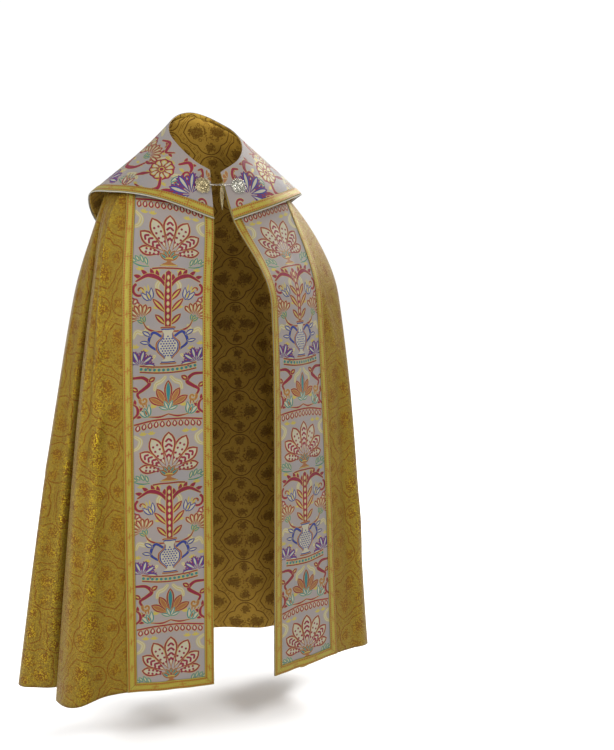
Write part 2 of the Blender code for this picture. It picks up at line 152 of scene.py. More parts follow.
def straight_slopes(keys, values):
    """The keys and values as arrays, the steps between keys, and the straight lines' slopes."""
    keys, values = np.asarray(keys, float), np.asarray(values, float)
    step = np.diff(keys).reshape((-1,) + (1,) * (values.ndim - 1))
    return keys, values, step, np.diff(values, axis=0) / step


def round_curve(keys, values, at):
    """A round curve through the values, for the folds around the cope."""
    keys, values, step, slope = straight_slopes(keys, values)
    tangents = np.concatenate([slope[:1], slope])
    tangents[1:-1] = (slope[:-1] * step[1:] + slope[1:] * step[:-1]) / (step[:-1] + step[1:])
    return hermite(keys, values, tangents, np.asarray(at, float))


def taut_curve(keys, values, at):
    """A curve that never swings past its values, for cloth that hangs straight down."""
    keys, values, _, slope = straight_slopes(keys, values)
    before, after = slope[:-1], slope[1:]
    same_way = before * after > 0
    total = np.where(same_way, before + after, 1.0)
    tangents = np.concatenate([slope[:1], slope])
    tangents[1:-1] = np.where(same_way, 2 * before * after / total, 0.0)
    return hermite(keys, values, tangents, np.asarray(at, float))


def cornered_curve(keys, values, at, corner):
    """Two round curves that meet in a corner at one key."""
    turn = keys.index(corner)
    first = round_curve(keys[:turn + 1], values[:turn + 1], at)
    second = round_curve(keys[turn:], values[turn:], at)
    return np.where((np.asarray(at) <= corner)[:, None], first, second)


def hood_points(shares, depths):
    """Points of the hood's outer face: shares run around it, depths from rim to lower edge."""
    keys = [row.share for row in HOOD_TABLE]
    rim = round_curve(keys, [row.rim for row in HOOD_TABLE], shares)
    edge = cornered_curve(keys, [row.edge for row in HOOD_TABLE], shares, TIP_SHARE)
    bulge = round_curve(keys, [row.bulge for row in HOOD_TABLE], shares)
    outward = edge * np.array((1.0, 1.0, 0.0))
    outward /= np.linalg.norm(outward, axis=-1, keepdims=True)
    down = np.asarray(depths, float)
    down = down.reshape(down.shape[0], -1, 1)
    swell = (4 * down * (1 - down)) * bulge[:, None] * outward
    return rim + (edge - rim) * down + swell


def surface_normals(points):
    """Outward normals of a grid whose rows run down and whose columns run around."""
    around = np.gradient(points, axis=1)
    down = np.gradient(points, axis=0)
    normals = np.cross(around, down)
    return normals / np.linalg.norm(normals, axis=-1, keepdims=True)


def body_keys(shares):
    """The body's outer face at each of its levels, for shares around the cope."""
    keys = [rib.share for rib in RIBS]
    hood = hood_points(shares, (0.0, COLLAR_DEPTH, SLOPE_DEPTH))
    inward = -surface_normals(hood)
    layers = HOOD_WALL + LINING_WALL + SEAM_GAP + NECK_CLEARANCE
    down_hood = hood[1] - hood[0]
    down_hood /= np.linalg.norm(down_hood, axis=-1, keepdims=True)
    neck = hood[0] + down_hood * NECK_DROP + inward[0] * layers
    collar = hood[1] + inward[1] * COLLAR_CLEARANCE
    slope = hood[2] + inward[2] * SLOPE_CLEARANCE
    shoulder = round_curve(keys, [rib.shoulder for rib in RIBS], shares)
    elbow = round_curve(keys, [rib.elbow + (ELBOW_HEIGHT,) for rib in RIBS], shares)
    hem = round_curve(keys, [rib.hem for rib in RIBS], shares)
    return np.stack((neck, collar, slope, shoulder, elbow, hem))


# ---------------------------------------------------------------- surfaces

# Panels of the brocade between deep folds: first share, middle share, and the way down on the flat cloth
Panel = namedtuple("Panel", "start middle heading")
PANELS = (Panel(0.000, 0.130, 18.0), Panel(0.245, 0.300, 52.0),
          Panel(0.388, 0.560, 90.0), Panel(0.772, 0.880, 162.0))

Crease = namedtuple("Crease", "share_top at_top share_low at_low width height")
CREASES = (
    # the wearer's right front lobe, and its soft folds out from the orphrey's seam
    Crease(0.118, 0.10, 0.122, 0.55, 0.0100, 0.0100),
    Crease(0.150, 0.16, 0.148, 1.02, 0.0110, 0.0080),
    Crease(0.104, 0.30, 0.128, 1.10, 0.0085, 0.0080),
    Crease(0.088, 0.36, 0.132, 0.50, 0.0060, 0.0060),
    Crease(0.090, 0.49, 0.140, 0.66, 0.0070, 0.0065),
    Crease(0.136, 0.24, 0.134, 0.95, 0.0060, -0.0070),
    Crease(0.172, 0.14, 0.170, 1.12, 0.0070, 0.0085),
    Crease(0.205, 0.12, 0.212, 1.15, 0.0150, -0.0160),
    Crease(0.242, 0.10, 0.247, 1.15, 0.0122, -0.0350),
    # the wearer's right rear lobe
    Crease(0.270, 0.20, 0.268, 1.15, 0.0105, 0.0125),
    Crease(0.300, 0.12, 0.304, 0.64, 0.0340, -0.0115),
    Crease(0.300, 0.66, 0.300, 1.20, 0.0300, 0.0070),
    Crease(0.280, 0.42, 0.284, 1.05, 0.0060, -0.0045),
    Crease(0.330, 0.22, 0.336, 1.10, 0.0090, 0.0060),
    Crease(0.352, 0.30, 0.356, 0.90, 0.0070, -0.0045),
    Crease(0.388, 0.14, 0.390, 1.12, 0.0120, -0.0120),
    # the back
    Crease(0.425, 0.20, 0.430, 1.10, 0.0090, 0.0055),
    Crease(0.450, 0.26, 0.452, 0.80, 0.0070, -0.0040),
    Crease(0.520, 0.24, 0.512, 1.10, 0.0110, 0.0060),
    Crease(0.545, 0.34, 0.548, 0.90, 0.0080, -0.0040),
    Crease(0.575, 0.20, 0.582, 1.05, 0.0100, 0.0055),
    Crease(0.655, 0.20, 0.660, 1.10, 0.0090, 0.0060),
    Crease(0.690, 0.24, 0.694, 0.86, 0.0070, -0.0045),
    # the wearer's left side
    Crease(0.725, 0.22, 0.722, 1.10, 0.0090, 0.0060),
    Crease(0.812, 0.22, 0.815, 1.05, 0.0080, 0.0055),
    Crease(0.772, 0.14, 0.772, 1.12, 0.0120, -0.0100),
    Crease(0.845, 0.26, 0.850, 0.95, 0.0070, -0.0045),
    Crease(0.893, 0.42, 0.891, 1.08, 0.0050, -0.0060),
    Crease(0.880, 0.24, 0.880, 1.10, 0.0080, 0.0055),
    Crease(0.906, 0.34, 0.880, 0.56, 0.0060, 0.0040),
    Crease(0.900, 0.60, 0.866, 0.84, 0.0070, 0.0040),
    # the orphreys' own slight waves
    Crease(0.030, 0.34, 0.034, 0.90, 0.0120, 0.0030),
    Crease(0.062, 0.30, 0.058, 0.80, 0.0100, -0.0024),
    Crease(0.965, 0.32, 0.962, 0.86, 0.0120, 0.0028),
    Crease(0.942, 0.40, 0.946, 0.96, 0.0090, -0.0022),
)
# A crease's height above the smooth form at which the glint painted on its crest is strongest
FULL_GLINT_HEIGHT = 0.012
# Shallow ripples around the cope, which rise to their full height below their first level
Ripple = namedtuple("Ripple", "waves lean height first")
RIPPLES = (Ripple(17, 1.3, 0.0011, 0.20), Ripple(29, -2.1, 0.0007, 0.24), Ripple(43, 3.0, 0.0004, 0.18))
RIPPLE_RISE = 0.15
RIPPLE_SWAY = 4.0
# How much more the elbows count than the hem when the columns are spaced
ELBOW_WEIGHT = 2.0
# A panel's flat layout starts where the neck's roll ends, and goes on straight past both ends
NECK_ROLL = 0.02
BEYOND = 1.0


class Surface:
    """A fine grid of points, rows down and columns around, that is read between its points."""

    def __init__(self, points):
        self.points = points
        self.normals = surface_normals(points)

    def read(self, grid, rows, columns):
        last_row, last_column = grid.shape[0] - 2, grid.shape[1] - 2
        i = np.clip(np.floor(rows).astype(int), 0, last_row)
        j = np.clip(np.floor(columns).astype(int), 0, last_column)
        v, u = (rows - i)[..., None], (columns - j)[..., None]
        upper = grid[i, j] * (1 - u) + grid[i, j + 1] * u
        lower = grid[i + 1, j] * (1 - u) + grid[i + 1, j + 1] * u
        return upper * (1 - v) + lower * v

    def normal_at(self, rows, columns):
        normal = self.read(self.normals, rows, columns)
        return normal / np.linalg.norm(normal, axis=-1, keepdims=True)

    def at(self, rows, columns, lift=0.0):
        lift = np.asarray(lift, float)[..., None]
        return self.read(self.points, rows, columns) + self.normal_at(rows, columns) * lift


def lengths(points, axis):
    """Length along each row (axis 1) or each column (axis 0) of a grid, from its start."""
    steps = np.linalg.norm(np.diff(points, axis=axis), axis=-1)
    pad = ((1, 0), (0, 0)) if axis == 0 else ((0, 0), (1, 0))
    return np.pad(np.cumsum(steps, axis=axis), pad)


def crease_heights(shares, levels):
    """How far the cloth stands out from its smooth form."""
    share, level = np.meshgrid(shares, levels)
    heights = np.zeros_like(share)
    for crease in CREASES:
        t = (level - crease.at_top) / (crease.at_low - crease.at_top)
        middle = crease.share_top + (crease.share_low - crease.share_top) * t
        window = np.sin(np.pi * np.clip(t, 0.0, 1.0)) ** 0.8
        heights += crease.height * window * np.exp(-((share - middle) / crease.width) ** 2)
    for ripple in RIPPLES:
        window = np.clip((level - ripple.first) / RIPPLE_RISE, 0.0, 1.0)
        phase = 2 * np.pi * ripple.waves * share + ripple.lean * np.sin(RIPPLE_SWAY * level + ripple.waves)
        heights += ripple.height * window * np.sin(phase)
    return heights


def grid_cells(rows, columns):
    """The four corners of each cell of a grid of points."""
    index = np.arange(rows * columns).reshape(rows, columns)
    return np.stack((index[:-1, :-1], index[:-1, 1:], index[1:, 1:], index[1:, :-1]), axis=-1).reshape(-1, 4)


def panel_layout(points, shares, panel):
    """Each point's place on the flat cloth, true to size over one panel: how far it lies around
    from the panel's middle column, and how far down that column its height is."""
    middle = int(np.searchsorted(shares, panel.middle))
    steps = np.linalg.norm(np.diff(points[..., :2], axis=1), axis=-1)
    along = np.pad(np.cumsum(steps, axis=1), ((0, 0), (1, 0)))
    along -= along[:, middle:middle + 1]
    profile = points[:, middle]
    reach = NECK_CUT + lengths(points[:, middle:middle + 1], 0)[:, 0]
    first = int(np.argmax(profile[:, 2] < profile[0, 2] - NECK_ROLL))
    heights, reach = profile[first:, 2], reach[first:]
    heights = np.concatenate((heights[:1] + BEYOND, heights, heights[-1:] - BEYOND))
    reach = np.concatenate((reach[:1] - BEYOND, reach, reach[-1:] + BEYOND))
    down = np.interp(-points[..., 2], -heights, reach)
    heading = math.radians(panel.heading)
    return np.stack((down * math.cos(heading) - along * math.sin(heading),
                     down * math.sin(heading) + along * math.cos(heading)), axis=-1)


def make_body_surface():
    """The body's outer face with its creases, each corner's flat place, and each point's share of a crest,
    which sets how much glint is painted there.
    """
    shares = np.linspace(0.0, 1.0, BODY_COLUMNS + 1)
    keys = body_keys(shares)
    even = lengths(keys[-1:], 1)[0] + ELBOW_WEIGHT * lengths(keys[-2:-1], 1)[0]
    shares = np.interp(np.linspace(0.0, even[-1], BODY_COLUMNS + 1), even, shares)
    levels = np.linspace(0.0, 1.0, BODY_ROWS + 1)
    smooth_face = taut_curve(LEVELS, body_keys(shares), levels)
    heights = crease_heights(shares, levels)
    points = smooth_face + surface_normals(smooth_face) * heights[..., None]
    cells = grid_cells(BODY_ROWS + 1, BODY_COLUMNS + 1)
    flat = np.empty((*cells.shape, 2))
    cell_shares = shares[cells[:, 0] % (BODY_COLUMNS + 1)]
    for panel in PANELS:
        inside_panel = cell_shares >= panel.start
        layout = panel_layout(points, shares, panel).reshape(-1, 2)
        flat[inside_panel] = layout[cells[inside_panel]]
    return Surface(points), flat, np.clip(heights / FULL_GLINT_HEIGHT, 0.0, 1.0)


class Draped:
    """Cloth on a surface, read by its flat places; a subclass's index gives their rows and columns."""

    def at(self, flat, lift):
        return self.surface.at(*self.index(flat), lift)

    def normal_at(self, flat):
        return self.surface.normal_at(*self.index(flat))


class Strip(Draped):
    """An orphrey's band of the body; flat places run across it from its middle and down from its top."""

    def __init__(self, body, at_start):
        rows = np.linspace(ORPHREY_TOP_AT * BODY_ROWS, BODY_ROWS, 2 * BODY_ROWS)
        around = lengths(body.points, 1)
        upper = np.clip(np.floor(rows).astype(int), 0, BODY_ROWS - 1)
        part = (rows - upper)[:, None]
        around = around[upper] * (1 - part) + around[upper + 1] * part
        places = np.linspace(0.0, ORPHREY_WIDTH, STRIP_COLUMNS)
        grid = []
        for row, length in zip(rows, around):
            wanted = places if at_start else length[-1] - ORPHREY_WIDTH + places
            columns = np.interp(wanted, length, np.arange(len(length)))
            grid.append(body.at(np.full_like(columns, row), columns))
        self.surface = Surface(np.stack(grid))
        self.down = lengths(self.surface.points, 0)[:, STRIP_COLUMNS // 2]
        self.length = self.down[-1]

    def index(self, flat):
        rows = np.interp(flat[..., 1], self.down, np.arange(len(self.down)))
        return rows, (flat[..., 0] + ORPHREY_WIDTH / 2) / ORPHREY_WIDTH * (STRIP_COLUMNS - 1)


class Hood(Draped):
    """The hood's outer face, and its place on the flat cloth: the neck's arc is around the origin."""

    # Metres down from the neck to the arc whose length sets the flat cut's angle
    ARC_AT = 0.11
    OUTLINE_STEPS = 241

    def __init__(self):
        self.shares = np.linspace(0.0, 1.0, HOOD_COLUMNS + 1)
        self.surface = Surface(hood_points(self.shares, np.linspace(0.0, 1.0, HOOD_ROWS + 1)))
        self.depth = lengths(self.surface.points, 0)[-1]
        rim = lengths(self.surface.points[:1], 1)[0, -1]
        rows = self.ARC_AT / self.depth * HOOD_ROWS
        arc = lengths(self.surface.at(rows, np.arange(HOOD_COLUMNS + 1))[None], 1)[0]
        self.radius = self.ARC_AT * rim / (arc[-1] - rim)
        back = np.interp(TIP_SHARE, self.shares, arc)
        self.angles = (arc - back) / (self.radius + self.ARC_AT)
        self.spread = min(-self.angles[0], self.angles[-1])

    def outline(self):
        """The flat cut's outline: the neck's arc and then the lower edge."""
        fine = np.linspace(self.angles[0], self.angles[-1], self.OUTLINE_STEPS)
        depth = np.interp(fine, self.angles, self.depth)
        reach = np.concatenate((np.full(len(fine), self.radius), (self.radius + depth)[::-1]))
        angle = np.concatenate((fine, fine[::-1]))
        return np.stack((reach * np.sin(angle), reach * np.cos(angle)), axis=1)

    def index(self, flat):
        reach = np.hypot(flat[..., 0], flat[..., 1])
        angle = np.arctan2(flat[..., 0], flat[..., 1])
        columns = np.interp(angle, self.angles, np.arange(HOOD_COLUMNS + 1))
        depth = np.interp(angle, self.angles, self.depth)
        return np.clip((reach - self.radius) / depth, 0.0, 1.0) * HOOD_ROWS, columns

    def flat_grid(self, shares, depths):
        """Flat places of a grid of shares around and metres down from the neck's edge."""
        angle = np.interp(shares, self.shares, self.angles)
        reach = self.radius + depths
        return np.stack((reach * np.sin(angle), reach * np.cos(angle)), axis=-1)


# ---------------------------------------------------------------- drawing on flat cloth

Mark = namedtuple("Mark", "outline colour")
# A motif's fine gold edge, and how much bolder strokes are than the widths given for them
EDGE = 0.0008
BOLDER = 1.3
COLOURS = ("ground", "gold", "crimson", "teal", "navy", "orange", "pale")
LEVEL = (1.0, 1.0, 1.0)


def edged(colour, *inner):
    """The layers of a motif: its gold edge, its colour, and rings of (inset, colour) within it."""
    return ((-EDGE, "gold"), (0.0, colour), *inner)


def toward(angle):
    """The direction at an angle in degrees from straight up, which is -y."""
    return np.array((math.sin(math.radians(angle)), -math.cos(math.radians(angle))))


def directions(path):
    """The unit direction at each point of a path, and the one to its left."""
    along = np.gradient(path, axis=0)
    along /= np.linalg.norm(along, axis=1, keepdims=True)
    return along, np.stack((-along[:, 1], along[:, 0]), axis=1)


def smooth(points, count):
    """A round open curve through a few points."""
    points = np.asarray(points, float)
    keys = np.pad(np.cumsum(np.linalg.norm(np.diff(points, axis=0), axis=1)), (1, 0))
    return round_curve(keys, points, np.linspace(0.0, keys[-1], count))


def ribbon(path, half, reach):
    """The closed outline of a stroke along a path, with a point at each end."""
    along, side = directions(path)
    side = side * half[:, None]
    start, end = path[:1] - along[:1] * reach, path[-1:] + along[-1:] * reach
    return np.concatenate((start, path + side, end, (path - side)[::-1]))


def stroke(points, width, colour="crimson", taper=(0.55, 1.0, 0.35), edge=EDGE, count=18):
    """A drawn line with a fine edge on both sides."""
    path = smooth(points, count)
    width = width * BOLDER
    half = np.interp(np.linspace(0, 1, count), (0, 0.5, 1), taper) * width / 2
    marks = [Mark(ribbon(path, half + edge, edge + width / 4), "gold")] if edge else []
    return marks + [Mark(ribbon(path, half, width / 4), colour)]


def drop(base, tip, width, layers, belly, count=11):
    """A petal, leaf or teardrop, one layer inside another."""
    base, tip = np.asarray(base, float), np.asarray(tip, float)
    length = np.linalg.norm(tip - base)
    along = (tip - base) / length
    side = np.array((-along[1], along[0]))
    t = np.linspace(0.0, 1.0, count)
    swell = np.sin(np.pi * t ** (math.log(0.5) / math.log(belly))) ** 0.8
    marks = []
    for inset, colour in layers:
        reach, half = length - 2 * inset, width / 2 - inset
        if reach <= 0 or half <= 0:
            continue
        line = base + along * (inset + t * reach)[:, None]
        out = side * (swell * half)[:, None]
        marks.append(Mark(np.concatenate((line + out, (line - out)[-2:0:-1])), colour))
    return marks


def disc(centre, radius, layers, count=14):
    """A round spot, one layer inside another."""
    turn = np.linspace(0.0, 2 * np.pi, count, endpoint=False)
    round_line = np.stack((np.cos(turn), np.sin(turn)), axis=1)
    return [Mark(np.asarray(centre) + round_line * (radius - inset), colour)
            for inset, colour in layers if radius > inset]


def shape(outline, layers):
    """A closed shape between mirrored halves, given by its right half, with layers inside it."""
    right = smooth(outline, 26)
    middle = right[:, 1].mean()
    span = np.abs(right).max(axis=0)
    marks = []
    for inset, colour in layers:
        scale = 1.0 - 2 * inset / np.array((2 * span[0], np.ptp(right[:, 1])))
        half = (right - (0.0, middle)) * scale + (0.0, middle)
        marks.append(Mark(np.concatenate((half, (half * (-1, 1))[::-1])), colour))
    return marks


def placed(marks, at, turn, size=1.0):
    """Marks turned by degrees, scaled and moved."""
    c, s = math.cos(math.radians(turn)) * size, math.sin(math.radians(turn)) * size
    spin = np.array(((c, s), (-s, c)))
    return [Mark(mark.outline @ spin + at, mark.colour) for mark in marks]


def mirrored(marks):
    """Marks and their mirror images across the middle line."""
    return marks + [Mark(mark.outline * (-1.0, 1.0), mark.colour) for mark in marks]


def fan(centre, inner, outer, width, angles, layers, belly=0.68):
    """Petals that spread from one centre; angles in degrees from straight up, which is -y."""
    centre = np.asarray(centre, float)
    marks = []
    for angle in angles:
        way = toward(angle)
        marks += drop(centre + way * inner, centre + way * outer, width, layers, belly)
    return marks


def sprig(centre, length, width):
    """Four thin gold leaves that spread upwards from a centre."""
    return fan(centre, 0.0, length, width, (-60, -20, 20, 60), ((0.0, "gold"),), 0.5)


def pale_ribbon(points, width, edge):
    """A pale band with a gold line along its middle."""
    marks = stroke(points, width, "pale", (0.6, 1.0, 0.5), edge)
    return marks + stroke(points, 0.0014, "gold", LEVEL, 0.0)


def volute(centre, radius, turns, start, width, colour="crimson", way=1.0):
    """A spiral stroke that winds in to its centre."""
    t = np.linspace(0.0, 1.0, 7 + int(8 * turns))
    angle = math.radians(start) + way * t * turns * 2 * np.pi
    reach = radius * (1 - 0.86 * t)
    points = np.stack((np.cos(angle), np.sin(angle)), axis=1) * reach[:, None] + centre
    return stroke(points, width, colour, taper=(1.0, 0.9, 0.6), count=len(t) + 6)


def leafy_scroll(points, width, leaves, side, leaf):
    """A tapering crimson stem with pointed leaves along one side."""
    count = 24
    path = smooth(points, count)
    along, out = directions(path)
    marks = []
    for place in np.linspace(0.18, 0.86, leaves):
        i = int(place * (count - 1))
        tip = path[i] + out[i] * side * leaf * 0.8 + along[i] * leaf * 0.7
        marks += drop(path[i], tip, leaf * 0.50, edged("crimson"), 0.45)
    return marks + stroke(points, width, count=count)


def bead_band(y, reach, bow):
    """Two crimson rails with teal beads between them, slightly bowed; drawn for the right half."""
    def line(height):
        return [(-0.004, y + height), (reach * 0.5, y + height + bow * 0.25), (reach, y + height + bow)]
    marks = stroke(line(-0.0070), 0.0024, "crimson", LEVEL)
    marks += stroke(line(0.0070), 0.0024, "crimson", LEVEL)
    for x in np.arange(0.0, reach - 0.002, 0.0105):
        centre = (x, y + bow * (x / reach) ** 2)
        marks += disc(centre, 0.0048, ((0, "gold"), (0.0011, "teal")), 8)
    return marks


def tulip(petal, heart):
    """A tulip head that opens upwards from the origin, 36 mm high."""
    layers = edged(petal, (0.0036, "pale"))
    core = ((0.0, "gold"), (0.0012, heart))
    marks = []
    for side in (1, -1):
        marks += drop((0.003 * side, 0.0), (0.017 * side, -0.033), 0.015, layers, 0.42)
    marks += drop((0.0, 0.002), (0.0, -0.030), 0.013, layers, 0.45)
    marks += drop((0.0, -0.005), (0.0, -0.022), 0.006, core, 0.5)
    for side in (1, -1):
        marks += drop((0.006 * side, -0.026), (0.012 * side, -0.045), 0.005, core, 0.4)
    return marks + drop((0.0, -0.030), (0.0, -0.046), 0.005, core, 0.4)


def carnation(petal, calyx):
    """A carnation head with notched petals over a leafy calyx, 40 mm high."""
    layers = edged(petal, (0.0032, "gold"), (0.0042, "pale"))
    marks = fan((0.0, -0.006), 0.004, 0.034, 0.011, range(-66, 67, 22), layers, 0.72)
    return marks + fan((0.0, 0.004), 0.0, 0.017, 0.0075, (-34, 0, 34), edged(calyx, (0.0026, "gold")), 0.5)


def iris(petal, rim):
    """A spread of toothed leaves around a pale vein, 44 mm high."""
    marks = []
    for angle in (-78, -40, 0, 40, 78):
        way = toward(angle)
        cross = np.array((way[1], -way[0]))
        for share, reach in ((0.45, 0.012), (0.65, 0.012), (0.85, 0.008)):
            for side in (-1, 1):
                foot = way * 0.044 * share
                tip = foot + (way * 0.7 + cross * side) * reach
                marks += drop(foot - way * 0.004, tip, 0.0075, ((0.0, rim), (0.0011, petal)), 0.4)
        layers = ((0.0, rim), (0.0013, petal), (0.0046, "pale"))
        marks += drop(way * 0.003, way * 0.046, 0.015, layers, 0.62)
    return marks


def blossom(petals, petal, rim, heart):
    """A round flower head, 36 mm across."""
    layers = ((-0.0010, rim), (0.0014, petal), (0.0032, "pale"))
    marks = fan((0.0, 0.0), 0.003, 0.018, 0.0115, np.linspace(0, 360, petals, endpoint=False), layers, 0.72)
    return marks + disc((0, 0), 0.0058, ((0.0, rim), (0.0014, "gold"), (0.003, heart)))


def acanthus(colour):
    """A curling leaf that rises to the right from the origin, 46 mm long."""
    layers = edged(colour, (0.0028, "gold"), (0.0036, "pale"))
    marks = []
    for base, tip in (((0.004, -0.002), (0.014, -0.020)), ((0.014, -0.005), (0.026, -0.022)),
                      ((0.024, -0.006), (0.037, -0.017)), ((0.030, -0.003), (0.048, -0.009))):
        marks += drop(base, tip, 0.0095, layers, 0.5)
    marks += stroke([(0.0, 0.0), (0.016, 0.003), (0.034, 0.001), (0.046, -0.006)], 0.0028, colour)
    return marks


def inside(points, outline):
    """Which points a closed outline winds around."""
    ahead = np.roll(outline, -1, axis=0)
    run, rise = (ahead - outline).T
    found = []
    for part in np.array_split(points, len(points) // 4096 + 1):
        x, y = part[:, :1], part[:, 1:]
        turn = run * (y - outline[:, 1]) - (x - outline[:, 0]) * rise
        below, above = outline[:, 1] <= y, ahead[:, 1] > y
        upward, downward = below & above & (turn > 0), ~below & ~above & (turn < 0)
        found.append(upward.sum(axis=1) != downward.sum(axis=1))
    return np.concatenate(found)


def inlay(outline, marks, spacing):
    """Flat triangles of a piece of cloth, cut along every mark's outline, and each one's slot."""
    verts, edges = [], []
    for loop in [outline] + [mark.outline for mark in marks]:
        first, count = len(verts), len(loop)
        verts += [tuple(point) for point in loop]
        edges += [(first + i, first + (i + 1) % count) for i in range(count)]
    low, high = outline.min(axis=0), outline.max(axis=0)
    counts = np.rint((high - low) / spacing).astype(int) + 1
    x, y = np.meshgrid(*(np.linspace(*ends) for ends in zip(low, high, counts)))
    verts += list(zip(x.ravel(), y.ravel()))
    made = delaunay_2d_cdt([Vector(v) for v in verts], edges, [], 0, 1e-6, False)
    points = np.array([tuple(v) for v in made[0]])
    faces = np.array(made[2])
    middles = points[faces].mean(axis=1)
    keep = inside(middles, outline)
    faces, middles = faces[keep], middles[keep]
    colours = np.zeros(len(faces), int)
    order = np.argsort(middles[:, 1])
    heights = middles[order, 1]
    for mark in marks:
        (left, top), (right, bottom) = mark.outline.min(axis=0), mark.outline.max(axis=0)
        near = order[slice(*np.searchsorted(heights, (top, bottom)))]
        near = near[(middles[near, 0] >= left) & (middles[near, 0] <= right)]
        if len(near):
            colours[near[inside(middles[near], mark.outline)]] = COLOURS.index(mark.colour)
    return points, faces, colours


# ---------------------------------------------------------------- the orphreys' design

REPEAT = 0.505
# How far above the hem a repeat of the design starts
DESIGN_LIFT = 0.141
PALE_RIBBONS = (
    ((0.080, 0.010), (0.066, 0.022), (0.072, 0.038), (0.084, 0.044)),
    ((0.012, 0.150), (0.026, 0.170), (0.020, 0.188)),
    ((0.046, 0.262), (0.058, 0.276), (0.072, 0.272), (0.080, 0.286)),
    ((0.030, 0.330), (0.044, 0.338), (0.050, 0.326)),
    ((0.006, 0.380), (0.016, 0.390), (0.028, 0.396), (0.032, 0.410)),
)
GOLD_SPRIGS = ((0.060, 0.010), (0.028, 0.140), (0.054, 0.320), (0.076, 0.310), (0.026, 0.222),
               (0.036, 0.452), (0.040, 0.010), (0.066, 0.136), (0.030, 0.372))


